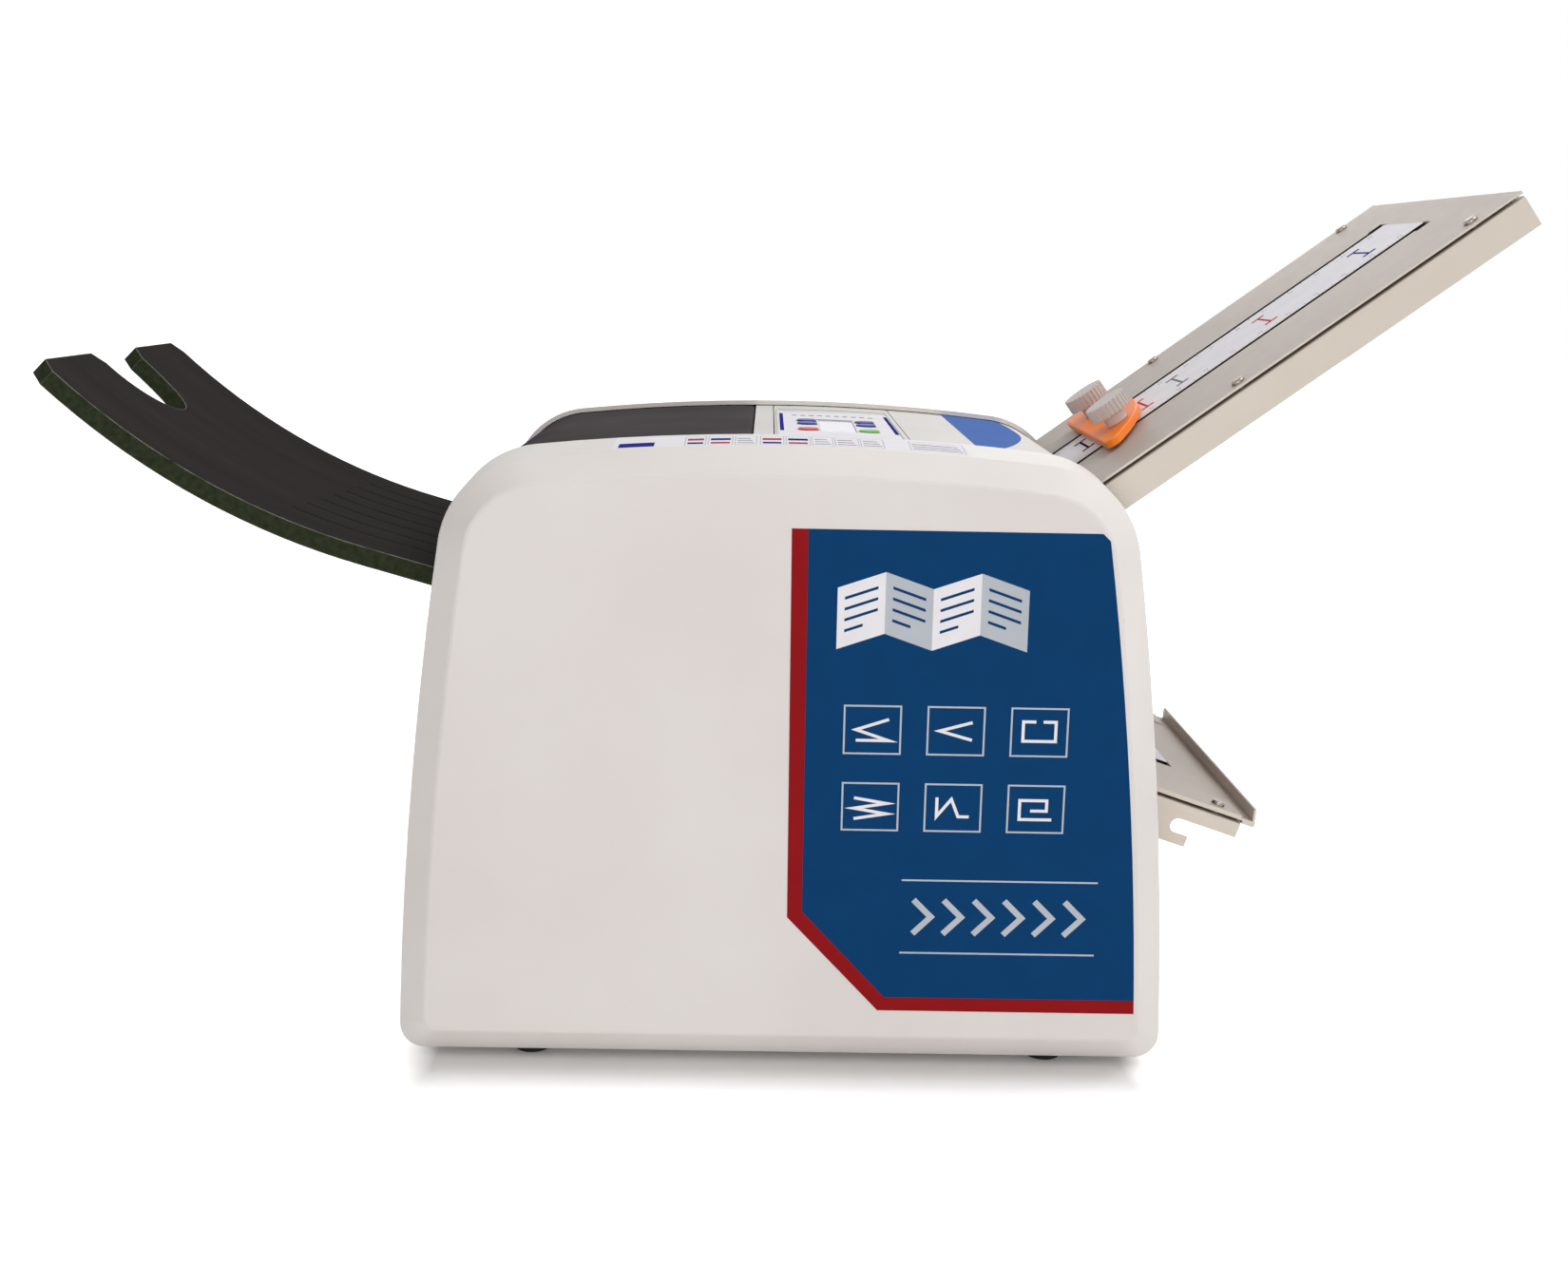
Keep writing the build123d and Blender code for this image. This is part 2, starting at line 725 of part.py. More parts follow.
def save_frames():
    near = side_frame()
    save("near_side_frame", near)
    save("far_side_frame", near.mirror(Plane.XZ))
    ties = [rod_y(x, z, -frame_in_y, frame_in_y, tie_radius) for x, z in tie_places]
    bearings = []
    for x, z in shaft_places:
        race = rod_y(x, z, -bearing_end_y, -frame_in_y, bearing_radius)
        race = race - rod_y(x, z, -bearing_end_y - over, 0, shaft_radius + turning_gap)
        bearings += both_sides(race)
    save("shaft_bearings", bearings)
    pins = []
    for point in (upper_point, lower_point):
        x, z = point(plate_pin_x, -plate_pin_drop)
        pins += both_sides(rod_y(x, z, -frame_in_y, -frame_in_y + plate_pin_length,
                                 plate_pin_radius))
    save("frame_rods_and_pins", ties + pins)

    base_x = half_width - base_set_in_x
    base_y = cover_outer_y - base_set_in_y
    base = block(-base_x, base_x, -base_y, base_y, base_z, floor_z)
    feet = []
    for x in feet_x:
        for y in (-foot_y, foot_y):
            base = base - rod_z(x, y, 0, floor_z + over, foot_stud_radius + fit_gap)
            pad = Cone(foot_radius - foot_taper, foot_radius, cover_bottom_z)
            stud = rod_z(x, y, cover_bottom_z - over, floor_z, foot_stud_radius)
            feet.append(Pos(x, y, cover_bottom_z / 2) * pad + stud)
    save("base_plate", base)
    save("rubber_feet", feet)


# ---------------------------------------------------------------- skins between the covers
whole_skin = ring(skin_recess, skin_wall)


def skin_piece(x0, x1, z0=lid_end_z, z1=beyond):
    """The skin between two places along X and two heights; the crown by default."""
    return whole_skin & block(x0, x1, -skin_y, skin_y, z0, z1)


def tabs(x0, top, width=skin_tab_width):
    """Two screw tabs that fasten a skin to the frames' inner faces."""
    return both_sides(block(x0, x0 + width, -frame_in_y, -frame_in_y + skin_tab_wall,
                            top - skin_tab_depth, top))


def crown_tabs(x0, width=skin_tab_width):
    """Tabs that hang from the crown; their tops stay inside its wall."""
    far_x = max(abs(x0), abs(x0 + width))
    return tabs(x0, top_z(far_x, skin_recess + skin_wall / 2), width)


def side_tab_x(top):
    """Outer face of tabs on an upright skin."""
    return side_x(top - skin_tab_depth / 2, skin_recess + skin_wall) + skin_tab_bite


def save_crown_skins():
    bridge = skin_piece(bridge_left_x, panel_left_x - seam / 2)
    tab_x = (bridge_left_x + panel_left_x - bridge_tab_width) / 2
    save("top_bridge", join(bridge, crown_tabs(tab_x, bridge_tab_width)))

    panel = skin_piece(panel_left_x + seam / 2, panel_right_x - seam / 2)
    for x in (panel_left_x + panel_tab_inset, panel_right_x - panel_tab_inset - skin_tab_width):
        panel = join(panel, crown_tabs(x))
    holes = [rod_z(x, y, lid_end_z, beyond, key_radius + running_gap)
             for x in key_columns for y in key_rows]
    half_x = display_length / 2 + fit_gap
    half_y = display_width / 2 + fit_gap
    holes.append(block(display_x - half_x, display_x + half_x, display_y - half_y,
                       display_y + half_y, lid_end_z, beyond))
    panel = cut_all(panel, holes)
    for x in (board_x + board_post_inset, board_x + board_length - board_post_inset):
        for y in (board_near_y + board_post_inset, board_far_y - board_post_inset):
            top = top_z(abs(x) + board_post_radius, skin_recess + skin_wall / 2)
            panel = panel + rod_z(x, y, board_top, top, board_post_radius)
    save("control_panel", panel)

    cover = skin_piece(panel_right_x + seam / 2, top_cover_end_x)
    for shift in top_cover_tabs:
        cover = join(cover, crown_tabs(panel_right_x + shift))
    save("rear_top_cover", cover)


def save_upright_skins():
    upper = skin_piece(0, beyond, rear_upper_low_z, rear_upper_high_z)
    tab_x = side_tab_x(rear_upper_tab_z) - skin_tab_width
    save("rear_upper_panel", join(upper, tabs(tab_x, rear_upper_tab_z)))

    lower = skin_piece(0, beyond, floor_z + rear_lower_gap, rear_lower_high_z)
    tab_x = side_tab_x(rear_lower_tab_z) - skin_tab_width
    lower = join(lower, tabs(tab_x, rear_lower_tab_z))
    half_y = inlet_width / 2 + fit_gap
    half_z = inlet_height / 2 + fit_gap
    save("rear_lower_panel", lower - block(0, beyond, inlet_y - half_y, inlet_y + half_y,
                                           inlet_z - half_z, inlet_z + half_z))

    front = skin_piece(-beyond, 0, front_low_z, front_high_z)
    save("front_panel", join(front, tabs(-side_tab_x(front_tab_z), front_tab_z)))


def save_lid():
    """The lid over the feed wheel, hinged at its inner edge."""
    lid = skin_piece(-beyond, lid_hinge_x)
    z = lid_hinge_z
    barrel_half = frame_in_y - running_gap
    lid = lid + rod_y(lid_hinge_x, z, -barrel_half, barrel_half, lid_barrel_radius)
    lid = lid - rod_y(lid_hinge_x, z, -skin_y, skin_y, lid_pin_radius + turning_gap)
    room = lid_ear_radius + lid_ear_gap
    notch = block(lid_hinge_x - room, lid_hinge_x + room, -cover_inner_y, -barrel_half,
                  z - lid_ear_drop, z + lid_ear_drop)
    save("feed_lid", cut_all(lid, both_sides(notch)))
    save("lid_hinge_pin", rod_y(lid_hinge_x, z, -frame_out_y, frame_out_y, lid_pin_radius))


# ---------------------------------------------------------------- feed tray and paper path
def tray_sector(drop, depth, inner_x):
    """The tray's curved and straight slab between two depths below the paper surface."""
    slope = radians(tray_slope)
    tip = radians(tray_tip_angle) + 2 * over / tray_radius
    middle = (tip + slope) / 2
    edges = [
        ThreePointArc(tray_curve(tip, drop), tray_curve(middle, drop), tray_curve(slope, drop)),
        Line(tray_curve(slope, drop), tray_point(inner_x, drop)),
        Line(tray_point(inner_x, drop), tray_point(inner_x, depth)),
        Line(tray_point(inner_x, depth), tray_curve(slope, depth)),
        ThreePointArc(tray_curve(slope, depth), tray_curve(middle, depth), tray_curve(tip, depth)),
        Line(tray_curve(tip, depth), tray_curve(tip, drop)),
    ]
    return extrude(Plane.XZ * make_face(edges), amount=tray_half + over, both=True)


def tray_plan(inset):
    """The tray seen square onto its tip: cut corners and a rounded notch."""
    half = tray_half - inset
    shoulder = -tray_corner_length - inset
    sheet = make_face(Polyline((-beyond, -half), (shoulder, -half),
                               (-inset, tray_corner_width - half), (-inset, half - tray_corner_width),
                               (shoulder, half), (-beyond, half), close=True))
    wide = notch_width / 2 + inset
    mouth = wide + tray_corner_width
    slot = make_face(Polyline((over, -mouth), (-inset, -mouth), (shoulder, -wide),
                              (shoulder, wide), (-inset, mouth), (over, mouth), close=True))
    slot = slot + Pos(shoulder, 0) * Ellipse(notch_length - tray_corner_length, wide)
    tip = radians(tray_tip_angle)
    x, z = tray_curve(tip, 0)
    place = Plane(origin=(x, 0, z), x_dir=(-cos(tip), 0, sin(tip)), z_dir=(sin(tip), 0, cos(tip)))
    return place * extrude(sheet - slot, amount=beyond, both=True)


def save_tray():
    tray = tray_sector(0, tray_depth, tray_inner_x) & tray_plan(0)
    hollow = tray_sector(tray_wall, tray_depth + over, tray_inner_x + over)
    tray = tray - (hollow & tray_plan(tray_wall))
    ribs = tray_sector(-rib_height, rib_root, tray_inner_x - rib_end_gap)
    for index in range(rib_count):
        y = (index - (rib_count - 1) / 2) * rib_spacing
        tray = tray + (ribs & block(rib_start_x + index * rib_stagger, 0, y - rib_width / 2,
                                    y + rib_width / 2, 0, beyond))
    save("feed_tray", tray)


def from_place(place, shifts):
    """Points given as shifts from one place in the XZ plane."""
    return [(place[0] + x, place[1] + z) for x, z in shifts]


def save_paper_path():
    feed = (feed_x, feed_z)
    nip_place = (nip_x, nip_z)
    guide_z = feed_z - guide_drop
    lower = from_place(feed, [guide_lead])
    lower += [(feed_x - guide_flat, guide_z), (feed_x + guide_flat, guide_z)]
    lower += from_place(nip_place, [lower_guide_end])
    upper = from_place(feed, [upper_guide_start, upper_guide_bend])
    upper += from_place(nip_place, [upper_guide_end])
    chute = from_place(rollers["lower_roller"], [chute_start, chute_bend, chute_end])
    save("paper_guides", [band(points, guide_wall, frame_in_y) for points in (lower, upper, chute)])
    save("separator_pad", block(feed_x - pad_length / 2, feed_x + pad_length / 2, -pad_width / 2,
                                pad_width / 2, guide_z, guide_z + pad_wall))

    rim = floor_z + frame_wall + exit_tray_rim
    x0 = exit_tray_gap - side_x(rim, skin_recess)
    x1 = x0 + exit_tray_length
    y = frame_in_y - frame_foot - exit_tray_gap
    wall = exit_tray_wall
    tray = block(x0, x1, -y, y, floor_z, rim)
    save("exit_tray", tray - block(x0 - over, x1 - wall, -y + wall, y - wall, floor_z + wall,
                                   rim + over))


# ---------------------------------------------------------------- fold plates
def slits(start, end):
    """Two long slits in a top sheet, each with a small window at its outer end."""
    z0, z1 = plate_gap / 2 - over, sheet_top + over
    cuts = []
    for y in (-slit_spacing / 2, slit_spacing / 2):
        cuts.append(block(start, end, y - slit_width / 2, y + slit_width / 2, z0, z1))
        cuts.append(block(end - slit_window_length, end, y - slit_window_width / 2,
                          y + slit_window_width / 2, z0, z1))
    return cuts


def channel(length):
    """The lower sheet of a fold plate, with its two side walls and the pin slots."""
    half = plate_half
    gap = plate_gap / 2
    body = block(0, length, -half, half, -gap - plate_sheet, -gap)
    body = join(body, both_sides(block(0, length, -half, -half + plate_sheet, wall_bottom, -gap)))
    bends = [e for e in body.edges().filter_by(Axis.X)
             if abs(e.center().Z + gap) < fit_gap and abs(e.center().Y) > half - fit_gap]
    body = fillet(bends, plate_bend_radius)
    reach = plate_pin_radius + plate_pin_gap
    centre = plate_pin_x + running_gap
    body = body - block(-over, centre, -half - over, half + over, -plate_pin_drop - reach,
                        -plate_pin_drop + reach)
    return body - rod_y(centre, -plate_pin_drop, -half - over, half + over, reach)


def screw_places(length, margin):
    """Screws along both long edges, counted from the outer end."""
    count = int((length - margin - screw_mouth_margin) // screw_spacing) + 1
    return [(length - margin - index * screw_spacing, y)
            for index in range(count) for y in (screw_edge - plate_half, plate_half - screw_edge)]


def screw_set(screws, place, raise_by=0.0):
    """Pan-head screws through the plate, each with its spacer in the paper gap."""
    pieces = []
    gap = plate_gap / 2
    seat = sheet_top + raise_by
    for x, y in screws:
        head = rod_z(x, y, seat, seat + screw_head_height, screw_head_radius)
        head = fillet(head.edges().sort_by(Axis.Z)[-1], screw_head_round)
        shank = rod_z(x, y, -gap - plate_sheet - screw_tail, seat, screw_shank_radius)
        bore = rod_z(x, y, -gap - over, gap + over, screw_shank_radius + turning_gap)
        spacer = rod_z(x, y, -gap, gap, spacer_radius) - bore
        pieces += [place * (head + shank), place * spacer]
    return pieces


def screw_holes(screws):
    return [rod_z(x, y, wall_bottom, sheet_top + screw_head_height,
                  screw_shank_radius + turning_gap) for x, y in screws]


def stop_parts(stop_x, place, prefix):
    """The orange clamp, the bar in the paper gap and the two thumb knobs."""
    half = stop_width / 2
    rest = sheet_top + running_gap
    clear = rest + stop_lift
    edges = [Line((stop_x, half), (stop_x, -half)),
             ThreePointArc((stop_x, -half), (stop_x + stop_depth, 0), (stop_x, half))]
    face = make_face(edges)
    face = fillet(face.vertices(), stop_corner_radius)
    clamp = Pos(0, 0, clear) * extrude(face, amount=stop_wall)
    clamp = chamfer(clamp.faces().sort_by(Axis.Z)[-1].edges(), stop_chamfer)
    knob_x = stop_x + knob_offset
    bar_y = plate_half - bar_end_gap
    bar = block(knob_x - bar_depth / 2, knob_x + bar_depth / 2, -bar_y, bar_y,
                -bar_wall / 2, bar_wall / 2)
    top = clear + stop_wall + fit_gap
    knobs = []
    for y in (-knob_spacing / 2, knob_spacing / 2):
        hole = rod_z(knob_x, y, -bar_wall, top + over, stud_radius + turning_gap)
        clamp = clamp + rod_z(knob_x, y, rest, clear + over, stop_collar_radius) - hole
        bar = bar - hole
        grip = Circle(knob_radius) - [loc * Circle(flute_radius)
                                      for loc in PolarLocations(knob_radius, knob_flutes)]
        grip = Pos(knob_x, y, top + knob_lift) * extrude(grip, amount=knob_height)
        neck = rod_z(knob_x, y, top, top + knob_lift, knob_neck_radius)
        stud = rod_z(knob_x, y, -bar_wall / 2, top, stud_radius)
        knobs.append(grip + neck + stud)
    save(f"{prefix}_stop_clamp", place * clamp)
    save(f"{prefix}_stop_bar", place * bar)
    save(f"{prefix}_near_knob", place * knobs[0])
    save(f"{prefix}_far_knob", place * knobs[1])


def save_upper_plate():
    sheet = block(0, upper_length, -plate_half, plate_half, plate_gap / 2, sheet_top)
    screws = screw_places(upper_length, upper_screw_margin)
    holes = screw_holes(screws)
    sheet = cut_all(sheet, slits(slit_start, upper_length - slit_end_margin) + holes)
    save("upper_plate_sheet", upper_place * sheet)
    save("upper_plate_channel", upper_place * cut_all(channel(upper_length), holes))
    save("upper_plate_screws", screw_set(screws, upper_place))
    stop_parts(upper_stop_x, upper_place, "upper")


def save_lower_plate():
    gap = plate_gap / 2
    length = lower_length
    screws = screw_places(length, lower_screw_margin)
    holes = screw_holes(screws)
    sheet = block(0, length + deflector_reach, -plate_half, plate_half, gap, sheet_top)
    sheet = sheet + block(length + running_gap, length + deflector_reach, -plate_half, plate_half,
                          -hem_drop, sheet_top)
    lip = block(-plate_sheet, 0, -plate_half, plate_half, 0, deflector_height)
    sheet = sheet + Pos(length + deflector_reach, 0, gap) * Rot(0, -deflector_lean, 0) * lip
    strip = block(0, length - over, -plate_half, -plate_half + strip_width, sheet_top,
                  sheet_top + strip_wall)
    sheet = join(sheet, both_sides(strip))
    sheet = cut_all(sheet, slits(lower_slit_start, length - lower_slit_end_margin) + holes)
    save("lower_plate_sheet", lower_place * sheet)

    hook = block(length - hook_root, length - hook_tip, -plate_half, -plate_half + plate_sheet,
                 -hook_depth, wall_bottom + over)
    body = join(channel(length), both_sides(hook))
    wide = plate_half + over
    slot_x = length - hook_slot_length
    slot_z = -hook_arm_depth - hook_slot_radius
    cuts = [
        block(slot_x, length + over, -wide, wide, slot_z - hook_slot_radius,
              slot_z + hook_slot_radius),
        rod_y(slot_x, slot_z, -wide, wide, hook_slot_radius),
        block(length - hook_tip, length + over, -wide, wide, -hook_depth - over, slot_z),
    ]
    save("lower_plate_channel", lower_place * cut_all(body, cuts + holes))
    save("lower_plate_screws", screw_set(screws, lower_place, strip_wall))
    stop_parts(lower_stop_x, lower_place, "lower")


# ---------------------------------------------------------------- controls and power
key_names = ("fold_key", "count_key", "stop_key", "speed_key", "test_key", "start_key")


def save_controls():
    places = [(x, y) for x in key_columns for y in key_rows]
    for name, (x, y) in zip(key_names, places):
        top = top_z(x, skin_recess) + key_stand
        root = top - skin_wall - key_root
        cap = rod_z(x, y, root, top, key_radius)
        cap = chamfer(cap.edges().sort_by(Axis.Z)[-1], key_chamfer)
        save(name, cap + rod_z(x, y, board_top + key_travel + running_gap, root + over,
                               key_stem_radius))
    half_x, half_y = display_length / 2, display_width / 2
    pane = ring(skin_recess + display_recess, skin_wall)
    save("display_window", pane & block(display_x - half_x, display_x + half_x, display_y - half_y,
                                        display_y + half_y, lid_end_z, beyond))
    save("control_board", block(board_x, board_x + board_length, board_near_y, board_far_y,
                                board_top - board_wall, board_top))


def save_power():
    back = side_x(inlet_z - inlet_height / 2 - inlet_flange, skin_recess)
    front = back + inlet_flange_wall
    half_w, half_h = inlet_width / 2, inlet_height / 2
    body = block(back - inlet_depth, back, inlet_y - half_w, inlet_y + half_w,
                 inlet_z - half_h, inlet_z + half_h)
    body = body + block(back, front, inlet_y - half_w - inlet_flange,
                        inlet_y + half_w + inlet_flange, inlet_z - half_h - inlet_flange,
                        inlet_z + half_h + inlet_flange)
    socket_y = inlet_y + socket_shift
    body = body - block(front - socket_depth, front + over, socket_y - socket_width / 2,
                        socket_y + socket_width / 2, inlet_z - socket_height / 2,
                        inlet_z + socket_height / 2)
    for shift in (-contact_spacing, 0, contact_spacing):
        y = socket_y + shift
        body = body + block(front - socket_depth - over, front - socket_depth + contact_length,
                            y - contact_width / 2, y + contact_width / 2,
                            inlet_z - contact_height / 2, inlet_z + contact_height / 2)
    rocker_y = inlet_y + rocker_shift
    half_w, half_h = rocker_width / 2, rocker_length / 2
    pivot_x = front - rocker_pivot_depth
    pip_y = half_w + rocker_pip_length
    body = body - block(front - rocker_pocket_depth, front + over, rocker_y - half_w - running_gap,
                        rocker_y + half_w + running_gap, inlet_z - half_h - running_gap,
                        inlet_z + half_h + running_gap)
    body = body - rod_y(pivot_x, inlet_z, rocker_y - pip_y - running_gap,
                        rocker_y + pip_y + running_gap, rocker_pip_radius + turning_gap)
    save("power_inlet", body)

    inner = front - rocker_depth
    profile = make_face(Polyline((inner, inlet_z - rocker_back_half),
                                 (front + rocker_low_proud, inlet_z - rocker_low_half),
                                 (front + rocker_ridge_proud, inlet_z),
                                 (front + rocker_high_proud, inlet_z + rocker_high_half),
                                 (inner, inlet_z + rocker_back_half), close=True))
    rocker = Pos(0, rocker_y, 0) * extrude(Plane.XZ * profile, amount=half_w, both=True)
    save("power_rocker", rocker + rod_y(pivot_x, inlet_z, rocker_y - pip_y, rocker_y + pip_y,
                                        rocker_pip_radius))
    dx, dy, dz = supply_size
    far_y = frame_in_y - supply_frame_gap
    save("power_supply", block(supply_x, supply_x + dx, far_y - dy, far_y, floor_z, floor_z + dz))


# ---------------------------------------------------------------- build everything
os.makedirs("parts", exist_ok=True)
save_covers()
save_frames()
save_rollers()
save_feed_and_motor()
save_crown_skins()
save_upright_skins()
save_lid()
save_tray()
save_paper_path()
save_upper_plate()
save_lower_plate()
save_controls()
save_power()
print(len(saved), "nodes")
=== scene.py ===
# %% [markdown]
# # A desk folding machine for paper
# The machine arrives as a fixed frame of real parts: covers, plates, rollers, knobs and keys.
# Here they get their finishes, and the thin things that a workshop adds last: the decals, the
# scales on the fold plates and the printed keypad.  Everything is in metres.  +X points to the
# fold plates, -Y to the side where the operator stands, and +Z up.  Places along X are counted
# from the middle of the covers.

# %% Load the frame and note its box
import json
from math import cos, pi, radians, sin

import bmesh
import bpy
from mathutils import Matrix, Vector
from mathutils.bvhtree import BVHTree


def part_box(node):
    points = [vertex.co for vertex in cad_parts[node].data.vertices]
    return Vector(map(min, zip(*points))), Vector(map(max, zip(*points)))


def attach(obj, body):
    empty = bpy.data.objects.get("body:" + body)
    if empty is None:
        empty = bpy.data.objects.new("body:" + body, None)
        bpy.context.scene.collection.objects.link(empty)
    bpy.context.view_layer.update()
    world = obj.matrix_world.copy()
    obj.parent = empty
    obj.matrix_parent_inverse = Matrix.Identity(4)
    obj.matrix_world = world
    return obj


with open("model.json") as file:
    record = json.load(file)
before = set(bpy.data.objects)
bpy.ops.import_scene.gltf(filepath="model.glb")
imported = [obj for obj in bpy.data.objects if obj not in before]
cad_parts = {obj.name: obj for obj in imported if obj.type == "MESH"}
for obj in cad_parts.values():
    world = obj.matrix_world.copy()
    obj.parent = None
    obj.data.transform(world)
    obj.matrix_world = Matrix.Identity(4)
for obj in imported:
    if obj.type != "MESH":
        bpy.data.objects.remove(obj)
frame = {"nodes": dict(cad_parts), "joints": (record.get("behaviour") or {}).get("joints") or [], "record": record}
nodes = frame["nodes"]
joints = {joint["name"]: joint for joint in frame["joints"]}
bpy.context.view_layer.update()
mm = 0.001
cover_low, cover_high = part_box("near_side_cover")
centre_x = (cover_low.x + cover_high.x) / 2 / mm

# %% [markdown]
# ## A short way to write materials
# A material is a sum of patterns.  Wiring each Math node by hand hides the idea, so one small
# class wraps an output socket and turns Python's own operators into Math nodes.  Colours and
# vectors have their own nodes, because a Math node would turn a colour grey.

# %% Sums on sockets
class Value:
    """An output socket on which + - * < > and abs() add Math nodes."""

    def __init__(self, finish, socket):
        self.finish = finish
        self.socket = socket

    def maths(self, operation, *values):
        return self.finish.node("ShaderNodeMath", {"operation": operation}, values)

    def __add__(self, other):
        return self.maths("ADD", self, other)

    def __sub__(self, other):
        return self.maths("SUBTRACT", self, other)

    def __rsub__(self, other):
        return self.maths("SUBTRACT", other, self)

    def __mul__(self, other):
        return self.maths("MULTIPLY", self, other)

    def __gt__(self, other):
        return self.maths("GREATER_THAN", self, other)

    def __lt__(self, other):
        return self.maths("LESS_THAN", self, other)

    def __abs__(self):
        return self.maths("ABSOLUTE", self)

    __radd__ = __add__
    __rmul__ = __mul__


# %% One class for a finish
class Finish:
    """A material under construction, built round one Principled shader."""

    def __init__(self, name, slot):
        self.material = bpy.data.materials.new(name)
        self.material.use_nodes = True
        self.tree = self.material.node_tree
        self.shader = self.tree.nodes["Principled BSDF"]
        self.slot = slot

    def feed(self, socket, value):
        """Link a value to a socket, or write a plain number or colour on it."""
        if isinstance(value, Value):
            self.tree.links.new(value.socket, socket)
        else:
            socket.default_value = value

    def node(self, kind, settings=None, values=(), output=0):
        """Add a node: its settings first, then its sockets by name or by place."""
        node = self.tree.nodes.new(kind)
        for key, value in (settings or {}).items():
            setattr(node, key, value)
        pairs = values.items() if isinstance(values, dict) else enumerate(values)
        for key, value in pairs:
            self.feed(node.inputs[key], value)
        return Value(self, node.outputs[output])

    def set(self, **sockets):
        """Set sockets of the shader; an underscore stands for a space in the name."""
        for name, value in sockets.items():
            self.feed(self.shader.inputs[name.replace("_", " ")], value)
        return self

    def place(self):
        """Where a point lies on the part itself, so that a pattern moves with its part."""
        return self.node("ShaderNodeTexCoord", output="Object")

    def axis(self, index, vector=None):
        """One coordinate of the place: 0 for X, 1 for Y and 2 for Z."""
        return self.node("ShaderNodeSeparateXYZ", None, (vector or self.place(),), output=index)

    def stretch(self, x, y, z):
        """The place with its axes scaled, for grain that runs one way."""
        values = (self.place(), (x, y, z))
        return self.node("ShaderNodeVectorMath", {"operation": "MULTIPLY"}, values)

    def noise(self, grain, detail=2.0, where=None):
        """A cloudy value about 0.5 whose blotches are about grain metres wide."""
        sockets = {"Vector": where or self.place(), "Scale": 1 / grain, "Detail": detail}
        return self.node("ShaderNodeTexNoise", None, sockets)

    def ramp(self, value, low, high):
        """0 below low, 1 above high and a straight slope between."""
        settings = {"interpolation_type": "LINEAR", "clamp": True}
        sockets = {"Value": value, "From Min": low, "From Max": high}
        return self.node("ShaderNodeMapRange", settings, sockets)

    def mix(self, factor, first, second):
        """Blend two colours."""
        settings = {"data_type": "RGBA"}
        return self.node("ShaderNodeMix", settings, {0: factor, 6: first, 7: second}, output=2)

    def bare_edges(self, reach):
        """1 along sharp corners, 0 on open faces: where a rounded normal leaves the true one."""
        rounded = self.node("ShaderNodeBevel", {"samples": 6}, {"Radius": reach})
        true = self.node("ShaderNodeNewGeometry", output="True Normal")
        alike = self.node("ShaderNodeVectorMath", {"operation": "DOT_PRODUCT"}, (rounded, true),
                          output="Value")
        return self.ramp(1.0 - alike, 0.02, 0.2)

    def relief(self, height, depth, edge=0.0):
        """Feed a height pattern to the normal; edge also rounds corners by that radius."""
        sockets = {"Height": height, "Distance": depth}
        if edge:
            sockets["Normal"] = self.node("ShaderNodeBevel", {"samples": 4}, {"Radius": edge})
        self.set(Normal=self.node("ShaderNodeBump", None, sockets))
        return self


def colour(red, green, blue):
    """A screen colour, 0 to 255, as the linear light that shaders add up."""
    def linear(level):
        level = level / 255
        return level / 12.92 if level <= 0.04045 else ((level + 0.055) / 1.055) ** 2.4
    return (linear(red), linear(green), linear(blue), 1.0)


print("shader helpers ready")

# %% [markdown]
# ## The camera and the light
# The machine is seen from a little above and almost square to its side.  The camera is a plain
# pinhole placed by three angles, so no lens shift is needed.  The light is that of a white
# photo studio: one large soft panel in front and low, one overhead, weak ones at both sides and
# behind, and a pale world.  A low front panel is what lights the bevel round the foot of the
# casing.  The strengths are set so that a colour comes out about as it is written.

# %% Camera
image_width = 1650
focal_pixels = 1880.0
camera_place = Vector((centre_x - 13.8, -1142.5, 454.2)) * mm
yaw, pitch, roll = radians(0.681), radians(11.868), radians(1.136)

forward = Vector((sin(yaw) * cos(pitch), cos(yaw) * cos(pitch), -sin(pitch)))
level = Vector((cos(yaw), -sin(yaw), 0.0))
upright = level.cross(forward)
right = level * cos(roll) + upright * sin(roll)
above = upright * cos(roll) - level * sin(roll)

lens = bpy.data.cameras.new("camera")
lens.sensor_width = 36.0
lens.lens = focal_pixels * lens.sensor_width / image_width
camera = bpy.data.objects.new("camera", lens)
camera.matrix_world = Matrix((right, above, -forward)).transposed().to_4x4()
camera.matrix_world.translation = camera_place
bpy.context.scene.collection.objects.link(camera)
bpy.context.scene.camera = camera
bpy.context.scene.view_settings.view_transform = "Standard"
print("lens", round(lens.lens, 2), "mm at", [round(v, 3) for v in camera_place])

# %% Lamps
def panel_light(name, place, target, size, power, tint=(1.0, 1.0, 1.0)):
    """A soft square lamp that faces the target."""
    lamp = bpy.data.lights.new(name, "AREA")
    lamp.size = size
    lamp.energy = power
    lamp.color = tint
    light = bpy.data.objects.new(name, lamp)
    light.location = place
    aim = Vector(target) - Vector(place)
    light.rotation_euler = aim.to_track_quat("-Z", "Y").to_euler()
    bpy.context.scene.collection.objects.link(light)


middle = (0.0, 0.0, 0.25)
faint_rose = (1.0, 0.96, 0.95)
panel_light("overhead_light", (0.8, -0.2, 1.7), middle, 1.3, 14.0)
panel_light("front_light", (-0.1, -2.3, 0.25), middle, 1.6, 21.0, faint_rose)
panel_light("left_light", (-1.9, -0.9, 0.5), middle, 1.2, 1.5)
panel_light("right_light", (1.9, 0.4, 0.5), middle, 1.2, 2.5)
panel_light("rear_light", (0.9, 2.0, 1.2), middle, 1.4, 6.0)
print("lamps:", len(bpy.data.lights))

